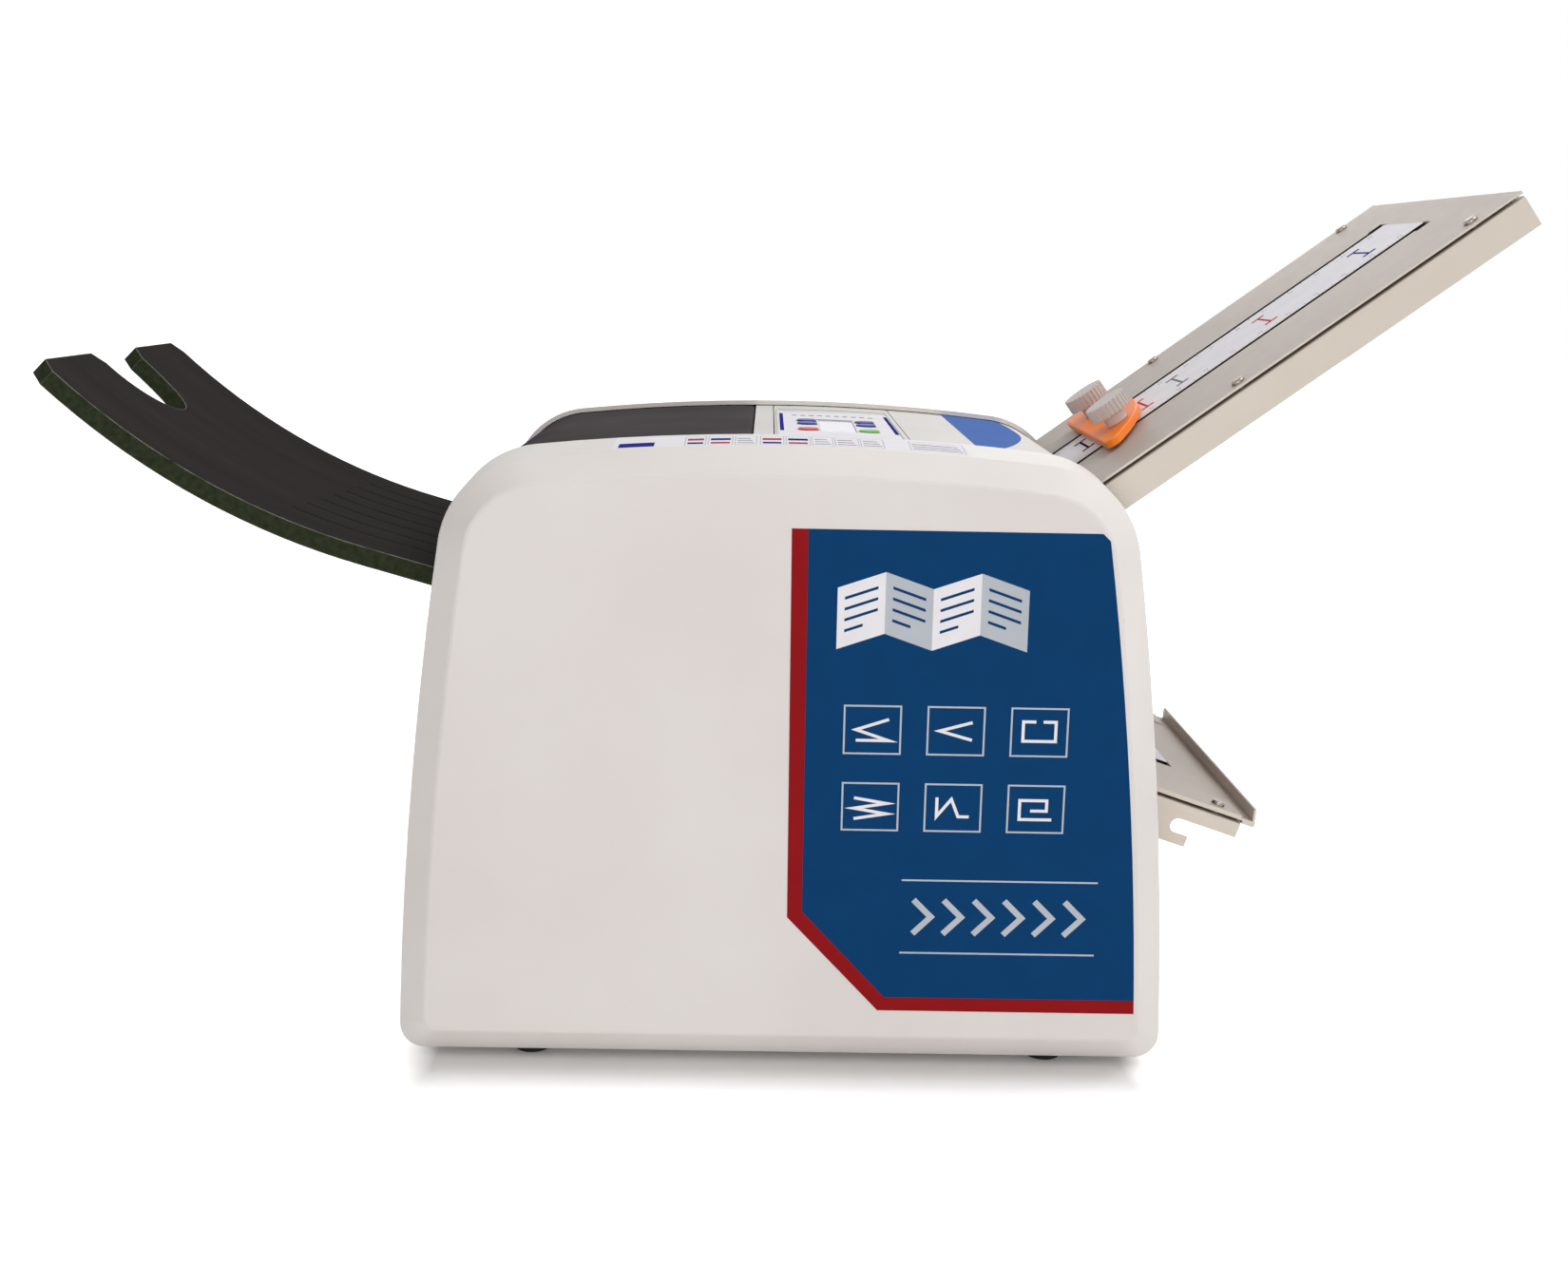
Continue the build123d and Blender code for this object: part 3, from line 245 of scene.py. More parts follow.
# %% [markdown]
# ## White ground
# The backdrop has to be white and still hold the soft shadow under the machine.  Camera, glossy
# and transmitted rays see a glow on the ground besides the light that it catches.  There is
# none of it below the casing, so the real shadow stays.  The glow then grows to full white over
# a short ramp round the casing, and that ramp paints a soft shadow round the foot of the
# casing, on top of the real one.  No lamp is raised for it.

# %% Sky
def seen_directly(tree):
    """1 for the rays that show the backdrop: from the camera, from gloss and through glass."""
    path = tree.nodes.new("ShaderNodeLightPath")
    total = path.outputs["Is Camera Ray"]
    for ray in ("Is Glossy Ray", "Is Transmission Ray"):
        either = tree.nodes.new("ShaderNodeMath")
        either.operation = "MAXIMUM"
        tree.links.new(total, either.inputs[0])
        tree.links.new(path.outputs[ray], either.inputs[1])
        total = either.outputs[0]
    return total


ambient = 0.40
white = (1.0, 1.0, 1.0, 1.0)
world = bpy.data.worlds.new("studio")
bpy.context.scene.world = world
world.use_nodes = True
sky = world.node_tree
strength = sky.nodes.new("ShaderNodeMapRange")
strength.inputs["To Min"].default_value = ambient
strength.inputs["To Max"].default_value = 1.0
sky.links.new(seen_directly(sky), strength.inputs["Value"])
sky.links.new(strength.outputs[0], sky.nodes["Background"].inputs["Strength"])
sky.nodes["Background"].inputs["Color"].default_value = white
print("sky lights at", ambient)

# %% Ground
ground_half = 9.0
ground_mesh = bpy.data.meshes.new("ground")
corners = [(x * ground_half, y * ground_half, 0) for x, y in ((-1, -1), (1, -1), (1, 1), (-1, 1))]
ground_mesh.from_pydata(corners, [], [(0, 1, 2, 3)])
ground = bpy.data.objects.new("ground", ground_mesh)
bpy.context.scene.collection.objects.link(ground)

paper_white = Finish("ground_white", None)
casing_middle = (centre_x * mm, 0.0, 0.0)
shaded_half = (0.2, 0.192, 0.0)
painted_shadow_fade = 0.06
faster_along_x = (2.0, 1.0, 1.0)


def vector_maths(operation, *values, output=0):
    return paper_white.node("ShaderNodeVectorMath", {"operation": operation}, values, output)


shifted = vector_maths("SUBTRACT", paper_white.place(), casing_middle)
outside = vector_maths("SUBTRACT", vector_maths("ABSOLUTE", shifted), shaded_half)
outside = vector_maths("MAXIMUM", outside, (0.0, 0.0, 0.0))
spread = vector_maths("MULTIPLY", outside, faster_along_x)
distance = vector_maths("LENGTH", spread, output="Value")
# Painted shadow: the glow ramps up only over this distance outside the casing, so a band round its foot stays
# darker than the open floor.
glow = paper_white.ramp(distance, 0.0, painted_shadow_fade)
paper_white.set(Base_Color=(0.95, 0.95, 0.95, 1.0), Roughness=0.9, Specular_IOR_Level=0.0,
                Emission_Color=glow * Value(paper_white, seen_directly(paper_white.tree)),
                Emission_Strength=1.0)
ground_mesh.materials.append(paper_white.material)
print("ground", 2 * ground_half, "m wide, glow full from", painted_shadow_fade, "m outside the casing")

# %% [markdown]
# ## Moulded plastic of the covers
# The side covers are injection mouldings in warm white.  Such a skin is never one colour: it
# drifts a little over the length of a hand, it has a fine orange peel that breaks up the shine,
# and dust gathers in it.  Corners that the tool left sharp are rounded with a Bevel node, which
# only bends the light.

# %% Cover, bridge and panel plastics
hand, finger = 0.14, 0.012


def moulded(name, slot, light, dark, roughness, peel=0.0009, depth=0.012, edge=0.5, shine=0.3):
    """Plain moulded plastic: two near tones, an uneven shine and a fine orange peel."""
    finish = Finish(name, slot)
    drift = finish.ramp(finish.noise(hand, 3.0), 0.35, 0.65)
    wear = finish.noise(finger, 3.0)
    finish.set(Base_Color=finish.mix(drift, colour(*light), colour(*dark)),
               Roughness=roughness + 0.14 * (wear - 0.5), Specular_IOR_Level=shine)
    return finish.relief(finish.noise(peel, 2.0), depth * mm, edge * mm)


cover_finish = moulded("warm_white_plastic", "cover_plastic", (233, 228, 224),
                       (227, 221, 217), 0.46)
strip_finish = moulded("pale_grey_plastic", "panel_plastic", (214, 211, 207), (207, 204, 200),
                       0.5)
lid_finish = moulded("dark_grey_plastic", "dark_plastic", (88, 84, 85), (77, 73, 74), 0.6,
                     peel=0.0007, depth=0.05, shine=0.0)
knob_finish = moulded("knob_grey_plastic", "knob_plastic", (214, 204, 199), (202, 192, 187), 0.5,
                      edge=0.35)
orange_finish = moulded("orange_plastic", "orange_plastic", (255, 142, 44), (255, 128, 34), 0.42,
                        edge=0.6)
inlet_finish = moulded("black_plastic", "inlet_plastic", (30, 30, 31), (22, 22, 23), 0.45)
print("moulded plastics ready")

# %% [markdown]
# ## The paper tray
# The tray is black plastic with long, faint draw lines.  Its side faces are painted green-black,
# a painted reflection, and its corners are painted pale, a painted highlight.  The corners are
# found by the shader itself: a Bevel node rounds the normal near a corner, and where that differs
# from the true normal the pale tone comes in.  The low ribs are left out of it.

# %% Tray plastic
ribs_begin = -0.3
# How far in from the sides the ribs stop, and how far the painted highlight reaches from a corner.
edge_strip, highlight_reach = 6 * mm, 1.2 * mm


def tray_plastic():
    """Black with draw lines on top, a painted green-black reflection on the sides, a painted pale highlight on the
    corners.
    """
    finish = Finish("tray_black_plastic", "tray_plastic")
    drift = finish.noise(0.03, 4.0, finish.stretch(0.16, 1.0, 0.16))
    streaks = finish.noise(0.0016, 3.0, finish.stretch(0.05, 1.0, 0.05))
    facing = finish.node("ShaderNodeTexCoord", output="Normal")
    # Painted reflection: faces that look along Y get a green-black tone instead of the black top.
    side = finish.ramp(abs(finish.axis(1, facing)), 0.55, 0.8)
    top = finish.mix(drift, colour(50, 48, 47), colour(62, 59, 58))
    top = finish.mix(finish.ramp(streaks, 0.62, 0.85) * 0.35, top, colour(92, 88, 86))
    mottle = finish.ramp(finish.noise(0.004, 3.0), 0.3, 0.7)
    reflection_flank = finish.mix(mottle, colour(42, 49, 33), colour(58, 64, 48))
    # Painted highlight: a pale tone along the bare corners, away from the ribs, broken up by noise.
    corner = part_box("feed_tray")[1]
    by_ribs = (finish.axis(0) > ribs_begin) * (abs(finish.axis(1)) < corner.y - edge_strip)
    edge_highlight = (finish.bare_edges(highlight_reach) * (1.0 - by_ribs)
           * finish.ramp(finish.noise(finger, 3.0), 0.25, 0.5))
    whole = finish.mix(side, top, reflection_flank)
    finish.set(Base_Color=finish.mix(edge_highlight * 0.9, whole, colour(176, 170, 164)),
               Roughness=0.5 + 0.16 * (finish.noise(0.006, 3.0) - 0.5),
               Specular_IOR_Level=0.0)
    return finish.relief(streaks + finish.noise(0.0006) * 0.6, 0.03 * mm, 0.9 * mm)


tray_finish = tray_plastic()
print("tray plastic ready")

# %% [markdown]
# ## Metal finishes
# The fold plates are sheet metal with a satin sand-coloured coat, under which a fine grain
# just shows.  The coat hides the metal, so it is not metallic.  Its top is painted a darker
# tone than its walls, as painted shade, and the walls of the slits are painted dark, a painted
# shade.  Frames, shafts and screws are bare or plated, so they are metallic, and their
# roughness carries the grain.

# %% Plates, steel and screws
# How far from the middle the walls of the slits get painted shade.
slit_shade_reach = 60 * mm
# Shaded and lit tones of one coat: the darker one for the top is painted shade, the lighter one is for the walls.
shaded_top_tones = (colour(188, 177, 168), colour(178, 167, 158))
lit_wall_tones = (colour(224, 215, 203), colour(218, 208, 195))


def coated_sheet():
    """Satin coat with painted shade: darker on the top, lighter on the walls, dark on the slit walls."""
    finish = Finish("sand_coated_sheet", "plate_metal")
    drift = finish.ramp(finish.noise(0.09, 3.0), 0.3, 0.7)
    grain = finish.noise(0.0012, 3.0)
    sideways = abs(finish.axis(1, finish.node("ShaderNodeTexCoord", output="Normal")))
    wall = finish.ramp(sideways, 0.6, 0.8)
    slit_shade_zone = abs(finish.axis(1)) < slit_shade_reach
    coat = finish.mix(wall, finish.mix(drift, *shaded_top_tones), finish.mix(drift, *lit_wall_tones))
    # Painted shade: side-facing walls near the middle, in the slits, turn dark.
    finish.set(Base_Color=finish.mix(wall * slit_shade_zone, coat, colour(52, 46, 42)),
               Roughness=0.42 + 0.16 * (finish.noise(0.008, 3.0) - 0.5),
               Specular_IOR_Level=0.15)
    return finish.relief(grain, 0.02 * mm, 0.45 * mm)


def steel(name, slot, light, dark, roughness, along=(1.0, 1.0, 1.0), grain=0.0015):
    """Bare or plated steel, with grain that is drawn out along the axis scaled down."""
    finish = Finish(name, slot)
    lines = finish.noise(grain, 3.0, finish.stretch(*along))
    drift = finish.noise(0.03, 3.0)
    finish.set(Base_Color=finish.mix(drift, colour(*light), colour(*dark)), Metallic=1.0,
               Roughness=roughness + 0.2 * (lines - 0.5))
    return finish.relief(lines, 0.006 * mm, 0.25 * mm)


plate_finish = coated_sheet()
zinc_finish = steel("zinc_steel", "frame_steel", (196, 198, 200), (176, 178, 181), 0.42)
guide_finish = steel("guide_steel", "guide_steel", (200, 200, 198), (184, 184, 182), 0.36,
                     (0.1, 1.0, 1.0))
screw_finish = steel("plated_screw", "screw_steel", (166, 158, 148), (128, 120, 110), 0.3)
turned_finish = steel("turned_steel", "shaft_steel", (188, 188, 190), (168, 168, 171), 0.3,
                      (1.0, 0.05, 1.0))
bearing_finish = steel("bearing_steel", "bearing_steel", (170, 172, 176), (150, 152, 156), 0.25)
bar_finish = steel("bright_bar", "bar_steel", (192, 192, 190), (176, 176, 174), 0.3)
supply_finish = steel("supply_case_steel", "supply_case", (186, 188, 190), (164, 166, 169), 0.4)
print("metals ready")

# %% [markdown]
# ## Rubber, belts and board
# Ground rubber is matt with tiny pits, and the belts are the same rubber, only smoother.  The
# circuit board is green laminate.  Its copper tracks are bands across the board, cut short by
# a coarse noise, because they only have to read as tracks through the open lid.

# %% Soft and small finishes
def rubber(name, slot, light, dark, roughness=0.75, pits=0.0008):
    """Matt rubber: two near tones and fine pits."""
    finish = Finish(name, slot)
    finish.set(Base_Color=finish.mix(finish.noise(0.01, 3.0), colour(*light), colour(*dark)),
               Roughness=roughness + 0.15 * (finish.noise(0.003, 3.0) - 0.5),
               Specular_IOR_Level=0.3)
    return finish.relief(finish.noise(pits, 3.0), 0.05 * mm, 0.3 * mm)


track_pitch, track_half = 4 * mm, 0.45 * mm


def laminate():
    """Green board with pale copper tracks that stand up a little."""
    finish = Finish("board_laminate", "board_laminate")
    to_track = finish.node("ShaderNodeMath", {"operation": "PINGPONG"},
                           (finish.axis(1), track_pitch / 2))
    tracks = (to_track < track_half) * (finish.noise(finger) > 0.5)
    finish.set(Base_Color=finish.mix(tracks, colour(24, 92, 52), colour(70, 140, 80)),
               Roughness=0.35 + 0.1 * finish.noise(0.004))
    return finish.relief(tracks, 0.05 * mm)


foot_finish = rubber("foot_rubber", "foot_rubber", (34, 34, 34), (24, 24, 24))
pad_finish = rubber("grip_rubber", "pad_rubber", (96, 96, 94), (80, 80, 78))
belt_finish = rubber("belt_rubber", "belt_rubber", (28, 28, 28), (20, 20, 20), 0.6)
roller_finish = rubber("roller_rubber", "roller_rubber", (58, 58, 60), (46, 46, 48), 0.6)
motor_finish = moulded("motor_paint", "motor_metal", (66, 66, 69), (54, 54, 57), 0.4)
board_finish = laminate()
print("rubbers and board ready")

# %% [markdown]
# ## Keys and the counter's window
# The keys are small caps of dyed plastic in three colours, rounder at the rim than the covers.
# The counter hides behind a pale glossy cover, which gets a coat so that it shines more than
# the film round it.

# %% Keys and window
key_finishes = [
    moulded("key_blue_plastic", "key_blue", (64, 70, 152), (54, 58, 138), 0.4, edge=0.7),
    moulded("key_red_plastic", "key_red", (212, 88, 92), (200, 74, 80), 0.4, edge=0.7),
    moulded("key_green_plastic", "key_green", (116, 194, 96), (98, 180, 80), 0.4, edge=0.7),
]


def window_plastic():
    """The cover of the counter: pale, glossy and slightly tinted."""
    finish = Finish("window_plastic", "window_plastic")
    drift = finish.noise(0.02, 2.0)
    finish.set(Base_Color=finish.mix(drift, colour(226, 226, 238), colour(212, 212, 228)),
               Roughness=0.16 + 0.1 * (finish.noise(0.004) - 0.5), Coat_Weight=0.4)
    return finish.relief(finish.noise(0.002), 0.004 * mm, 0.4 * mm)


window_finish = window_plastic()
print("keys in", len(key_finishes), "colours")

# %% [markdown]
# ## Dress the parts
# Every part of the frame names a material slot, and each finish above says which slot it is for.
# So the parts are dressed in one loop, and a part that no finish fits stops the script at once
# instead of staying grey.

# %% Slot table
finishes = [cover_finish, strip_finish, lid_finish, knob_finish, orange_finish, inlet_finish,
            tray_finish, plate_finish, zinc_finish, guide_finish, screw_finish, turned_finish,
            bearing_finish, bar_finish, foot_finish, pad_finish, belt_finish, roller_finish,
            motor_finish, board_finish, supply_finish, window_finish, *key_finishes]
by_slot = {finish.slot: finish for finish in finishes}
for part in frame["record"]["subparts"]:
    node = nodes[part["node"]]
    node.data.materials.clear()
    node.data.materials.append(by_slot[part["material_slot"]].material)
print(len(by_slot), "finishes on", len(nodes), "parts")

# %% [markdown]
# ## Thin films
# Decals and printed films are too thin to be cut as parts, but they are real layers, so each is
# a closed slab a tenth of a millimetre thick.  Its outline is drawn flat in millimetres, where
# it is easy to think, and then every corner is carried to the machine by a place() function:
# onto the side cover's flat face, onto a fold plate, or straight down onto a curved top.

# %% Outlines
def bar(x0, y0, x1, y1):
    """The corners of a rectangle."""
    return [(x0, y0), (x1, y0), (x1, y1), (x0, y1)]


def outline_bars(x0, y0, x1, y1, wide):
    """A hollow rectangle as four bars that meet without overlap."""
    return [bar(x0, y0, x1, y0 + wide), bar(x0, y1 - wide, x1, y1),
            bar(x0, y0 + wide, x0 + wide, y1 - wide), bar(x1 - wide, y0 + wide, x1, y1 - wide)]


def stroke(points, wide):
    """A bent line of even width with mitred corners."""
    points = [Vector(point) for point in points]
    turns = [(b - a).normalized() for a, b in zip(points, points[1:])]
    left, other = [], []
    for index, point in enumerate(points):
        before = turns[max(index - 1, 0)]
        after = turns[min(index, len(turns) - 1)]
        across = Vector((-before.y - after.y, before.x + after.x)) / (1 + before.dot(after))
        left.append(tuple(point + across * wide / 2))
        other.append(tuple(point - across * wide / 2))
    return left + other[::-1]


def spoke(angle, radius):
    """The point at an angle and a distance from the origin."""
    return (radius * cos(angle), radius * sin(angle))


print("outline helpers ready")

# %% Places
def on_side(x, z, height):
    """On the flat face of the near side cover."""
    return Vector(((centre_x + x) * mm, cover_low.y - height * mm, z * mm))


def on_top(name):
    """Straight down onto the top of one part."""
    mesh = nodes[name].data
    surface = BVHTree.FromPolygons([v.co for v in mesh.vertices],
                                   [p.vertices for p in mesh.polygons])
    downwards = Vector((0, 0, -1))

    def place(x, y, height):
        high_up = Vector(((centre_x + x) * mm, y * mm, 1.0))
        hit, normal = surface.ray_cast(high_up, downwards)[:2]
        return hit + normal * height * mm
    return place


knob_along = {"upper": 187.0, "lower": 95.0}
sheet_top = 2.4


def on_plate(prefix):
    """On the top sheet of a fold plate: along its slope from the mouth, across it and up."""
    slope = Vector(joints[f"{prefix}_plate_slide"]["axis"])
    knob = joints[f"{prefix}_near_knob_turn"]
    upwards = Vector(knob["axis"])
    mouth = Vector(knob["pos_m"]) - slope * knob_along[prefix] * mm
    mouth.y = 0.0

    def place(along, across, height):
        return (mouth + slope * along * mm + Vector((0, across * mm, 0))
                + upwards * (sheet_top + height) * mm)
    return place


print("knobs stand", knob_along, "mm from the mouths")

# %% Slabs
film_thick, ink_thick = 0.1, 0.03


def new_piece(name, shape, finish, body):
    """Turn a bmesh into an object that rides on a body and wears a finish."""
    mesh = bpy.data.meshes.new(name)
    shape.to_mesh(mesh)
    shape.free()
    mesh.materials.append(finish.material)
    piece = bpy.data.objects.new(name, mesh)
    bpy.context.scene.collection.objects.link(piece)
    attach(piece, body)
    return piece


def thicken(shape, low, high, place):
    """Pull flat faces up into closed slabs, then carry them to their place."""
    raised = bmesh.ops.extrude_face_region(shape, geom=shape.faces[:])
    for part in raised["geom"]:
        if isinstance(part, bmesh.types.BMVert):
            part.co.z = high
    bmesh.ops.recalc_face_normals(shape, faces=shape.faces[:])
    for vert in shape.verts:
        vert.co = place(*vert.co)


def slab(name, outlines, finish, body, place, low=0.0, thick=film_thick, cut=None):
    """Separate flat slabs; cut slices them so that they can follow a curve."""
    shape = bmesh.new()
    for outline in outlines:
        shape.faces.new([shape.verts.new((x, y, low)) for x, y in outline])
    if cut:
        spread = [vert.co.x for vert in shape.verts]
        for step in range(1, int((max(spread) - min(spread)) / cut) + 1):
            everything = shape.verts[:] + shape.edges[:] + shape.faces[:]
            bmesh.ops.bisect_plane(shape, geom=everything, plane_no=(1, 0, 0),
                                   plane_co=(min(spread) + step * cut, 0, 0))
    thicken(shape, low, low + thick, place)
    return new_piece(name, shape, finish, body)


def collar(shape, x, y, half, radius, low, steps=32):
    """A flat plate between a square and a round hole in its middle."""
    inner, outer = [], []
    for step in range(steps):
        angle = 2 * pi * step / steps
        dx, dy = spoke(angle, half / max(abs(cos(angle)), abs(sin(angle))))
        outer.append(shape.verts.new((x + dx, y + dy, low)))
        dx, dy = spoke(angle, radius)
        inner.append(shape.verts.new((x + dx, y + dy, low)))
    for step in range(steps):
        after = (step + 1) % steps
        shape.faces.new([inner[step], outer[step], outer[after], inner[after]])


def film(name, region, windows, finish, body, place, low=0.0, thick=film_thick, cut=8.0,
         round_holes=()):
    """One sheet over a rectangle, with rectangular and round windows cut out of it."""
    windows = windows + [(x - half, y - half, x + half, y + half) for x, y, half, _ in round_holes]
    x0, y0, x1, y1 = region
    xs = {x0, x1} | {w[0] for w in windows} | {w[2] for w in windows}
    xs |= {x0 + step * cut for step in range(1, int((x1 - x0) / cut) + 1)}
    ys = {y0, y1} | {w[1] for w in windows} | {w[3] for w in windows}
    xs = sorted(x for x in xs if x0 <= x <= x1)
    ys = sorted(y for y in ys if y0 <= y <= y1)
    shape = bmesh.new()
    corner = {(x, y): shape.verts.new((x, y, low)) for x in xs for y in ys}
    for low_x, high_x in zip(xs, xs[1:]):
        for low_y, high_y in zip(ys, ys[1:]):
            x, y = (low_x + high_x) / 2, (low_y + high_y) / 2
            if not any(w[0] < x < w[2] and w[1] < y < w[3] for w in windows):
                ring = bar(low_x, low_y, high_x, high_y)
                shape.faces.new([corner[point] for point in ring])
    bmesh.ops.delete(shape, geom=[v for v in shape.verts if not v.link_faces], context="VERTS")
    for hole in round_holes:
        collar(shape, *hole, low)
    thicken(shape, low, low + thick, place)
    return new_piece(name, shape, finish, body)


print("film helpers ready")

# %% Printed finishes
def print_ink(name, tone, roughness=0.4):
    """Printed film: an even tone with a faint cloud and the film's own shine."""
    finish = Finish(name, "panel_plastic")
    cloud = finish.noise(0.02, 3.0)
    darker = tuple(level * 0.94 for level in tone)
    finish.set(Base_Color=finish.mix(cloud, colour(*tone), colour(*darker)),
               Roughness=roughness + 0.1 * (finish.noise(0.003) - 0.5), Specular_IOR_Level=0.0)
    return finish.relief(finish.noise(0.0015), 0.004 * mm)


ink = {
    "white": print_ink("film_white", (250, 248, 252)),
    "silver": print_ink("film_silver", (198, 204, 212)),
    "navy": print_ink("film_navy", (20, 68, 117), 0.3),
    "red": print_ink("film_red", (155, 30, 34), 0.3),
    "blue": print_ink("film_blue", (96, 128, 196), 0.42),
    "deep_blue": print_ink("ink_deep_blue", (56, 56, 146)),
    "mark_red": print_ink("ink_red", (196, 84, 92)),
    "grey": print_ink("ink_grey", (140, 138, 148)),
    "pale": print_ink("ink_pale", (206, 206, 216)),
    "black": print_ink("ink_black", (52, 48, 60)),
}
print(len(ink), "inks")

# %% [markdown]
# ## The side graphic
# A large film covers the right part of the near cover: a navy field whose right edge runs
# along the face's own edge, with a red band down its left and along its foot.  On it stands
# a plain design about folding: an unfolded leaflet, six fold diagrams and a row of chevrons.

# %% Navy field and red band
face_foot, face_head = 41.5, 316.8
field_foot, cut_corner = 49.5, 4.0
widest, widest_z, bow = 203.2, -67.0, 4680.0
side_steps = 12


def face_edge(z):
    """How far the flat face reaches at height z, less a small margin."""
    return widest - (z - widest_z) ** 2 / bow


rise = (face_head - cut_corner - face_foot) / side_steps
heights = [face_foot + rise * step for step in range(side_steps + 1)]
joint_line = [(9.5, face_head), (10.5, 100.0), (58.0, field_foot),
              (face_edge(field_foot), field_foot)]
field = joint_line + [(face_edge(z), z) for z in heights if z > field_foot]
field.append((face_edge(face_head) - 3.5, face_head))
band = [(0.5, face_head), (2.2, 96.5), (54.5, face_foot), (face_edge(face_foot), face_foot)]
band += joint_line[::-1]
slab("side_field", [field], ink["navy"], "machine", on_side)
slab("side_band", [band], ink["red"], "machine", on_side)
print("side graphic", round(face_edge(face_foot)), "mm wide at its foot")

# %% Leaflet
leaflet_x, leaflet_z = 26.0, 251.0
panel_wide, panel_tall, panel_lean = 26.0, 34.0, 9.0
line_margin, line_thick, line_pitch = 4.0, 1.6, 6.0
white_panels, silver_panels, panel_lines = [], [], []
for index in range(4):
    x0 = leaflet_x + index * panel_wide
    x1 = x0 + panel_wide
    start, end = (panel_lean, 0.0) if index % 2 else (0.0, panel_lean)
    low0, low1 = leaflet_z + start, leaflet_z + end
    panel = [(x0, low0), (x1, low1), (x1, low1 + panel_tall), (x0, low0 + panel_tall)]
    (silver_panels if index % 2 else white_panels).append(panel)
    slope = (low1 - low0) / panel_wide
    for row in range(4):
        a, b = x0 + line_margin, x1 - (line_margin if row else 3 * line_margin)
        z0, z1 = (low0 + 8.0 + row * line_pitch + slope * (x - x0) for x in (a, b))
        panel_lines.append([(a, z0), (b, z1), (b, z1 + line_thick), (a, z0 + line_thick)])
slab("leaflet_light_panels", white_panels, ink["white"], "machine", on_side, film_thick,
     ink_thick)
slab("leaflet_shaded_panels", silver_panels, ink["silver"], "machine", on_side, film_thick,
     ink_thick)
slab("leaflet_lines", panel_lines, ink["navy"], "machine", on_side, film_thick + ink_thick,
     ink_thick)
print("leaflet with", len(panel_lines), "lines")

# %% Fold diagrams and chevrons
folds = {
    "letter": [(-9, -6), (9, -6), (-9, 0), (9, 6)],
    "half": [(9, 5), (-9, 0), (9, -5)],
    "gate": [(-2, 6), (-9, 6), (-9, -5), (9, -5), (9, 6), (2, 6)],
    "zigzag": [(-9, -7), (9, -4), (-9, -1), (9, 2), (-9, 5)],
    "uneven": [(-9, 6), (-9, -5), (-1, 5), (3, -5), (9, -5)],
    "roll": [(9, -6), (-9, -6), (-9, 5), (6, 5), (6, -1), (-3, -1)],
}
first_x, first_z, pitch_x, pitch_z = 47.0, 206.0, 46.0, 44.0
tile_half_wide, tile_half_tall = 16, 14
diagrams, tiles = [], []
for index, points in enumerate(folds.values()):
    x, z = first_x + (index % 3) * pitch_x, first_z - (index // 3) * pitch_z
    diagrams.append(stroke([(x + dx, z + dz) for dx, dz in points], 1.7))
    tiles += outline_bars(x - tile_half_wide, z - tile_half_tall, x + tile_half_wide,
                          z + tile_half_tall, 1.0)
slab("fold_diagrams", diagrams, ink["white"], "machine", on_side, film_thick, ink_thick)
slab("diagram_tiles", tiles, ink["silver"], "machine", on_side, film_thick, ink_thick)

chevron_pitch, chevron_z, arm = 17.0, 98, 5
chevrons = [stroke([(x - arm, chevron_z - 2 * arm), (x + arm, chevron_z),
                    (x - arm, chevron_z + 2 * arm)], 3.4)
            for x in [78.0 + chevron_pitch * step for step in range(6)]]
rules = [bar(66, 119, 176, 120), bar(66, 76, 176, 77)]
slab("chevrons", chevrons + rules, ink["silver"], "machine", on_side, film_thick, ink_thick)
print(len(folds), "diagrams and", len(chevrons), "chevrons")

# %% [markdown]
# ## The label on the top edge of the near cover
# A long white label lies on the sloping strip: a blue title bar and a row of small boxes with
# pairs of coloured bars, which stand for fold settings.

# %% Edge label
strip_top = on_top("near_side_cover")
label_near, label_far = -165.5, -132.0
print_near, print_far = -163.5, -137.0
curve_cut = 8.0
film("edge_label", (-98.4, label_near, 98.0, label_far), [], ink["white"], "machine", strip_top)
slab("edge_label_title", [bar(-95.2, print_near, -75.6, -151.5)], ink["deep_blue"], "machine",
     strip_top, film_thick, ink_thick, cut=curve_cut)
boxes, reds, blues, greys = [], [], [], []
for x0, x1, kind in ((-59.0, -47.2, "red"), (-46.2, -32.4, "blue"), (-31.4, -19.1, "grey"),
                     (-17.5, -4.1, "red"), (-3.3, 10.5, "blue"), (11.3, 23.2, "grey"),
                     (24.0, 37.4, "grey"), (38.2, 51.3, "grey"), (65.5, 96.2, "grey")):
    boxes += outline_bars(x0, print_near, x1, print_far, 0.5)
    near_bar = bar(x0 + 1.6, -160.0, x1 - 1.6, -155.0)
    far_bar = bar(x0 + 1.4, -149.5, x1 - 1.4, -143.5)
    if kind == "grey":
        greys += [bar(x0 + 1.5, y, x1 - 1.5 - row, y + 1.6)
                  for row, y in enumerate((-159.0, -152.5, -146.0))]
    else:
        near, far = (reds, blues) if kind == "blue" else (blues, reds)
        near.append(near_bar)
        far.append(far_bar)
edge_inks = {"boxes": (boxes, "pale"), "reds": (reds, "mark_red"), "blues": (blues, "deep_blue"),
             "greys": (greys, "grey")}
for name, (outlines, tone) in edge_inks.items():
    slab(f"edge_label_{name}", outlines, ink[tone], "machine", strip_top, film_thick, ink_thick,
         cut=curve_cut)
print("edge label:", len(boxes), "box sides")

# %% [markdown]
# ## The keypad film
# The film on the control panel is white, with windows for the keys and the counter, a blue
# bracket at each end and a row of small marks at its far edge.  The windows are read from the
# parts that stand in them, so the film always fits.  A low bead frames it.

# %% Keypad
panel_top = on_top("control_panel")
key_names = ["fold_key", "count_key", "stop_key", "speed_key", "test_key", "start_key"]
window_gap = 0.6


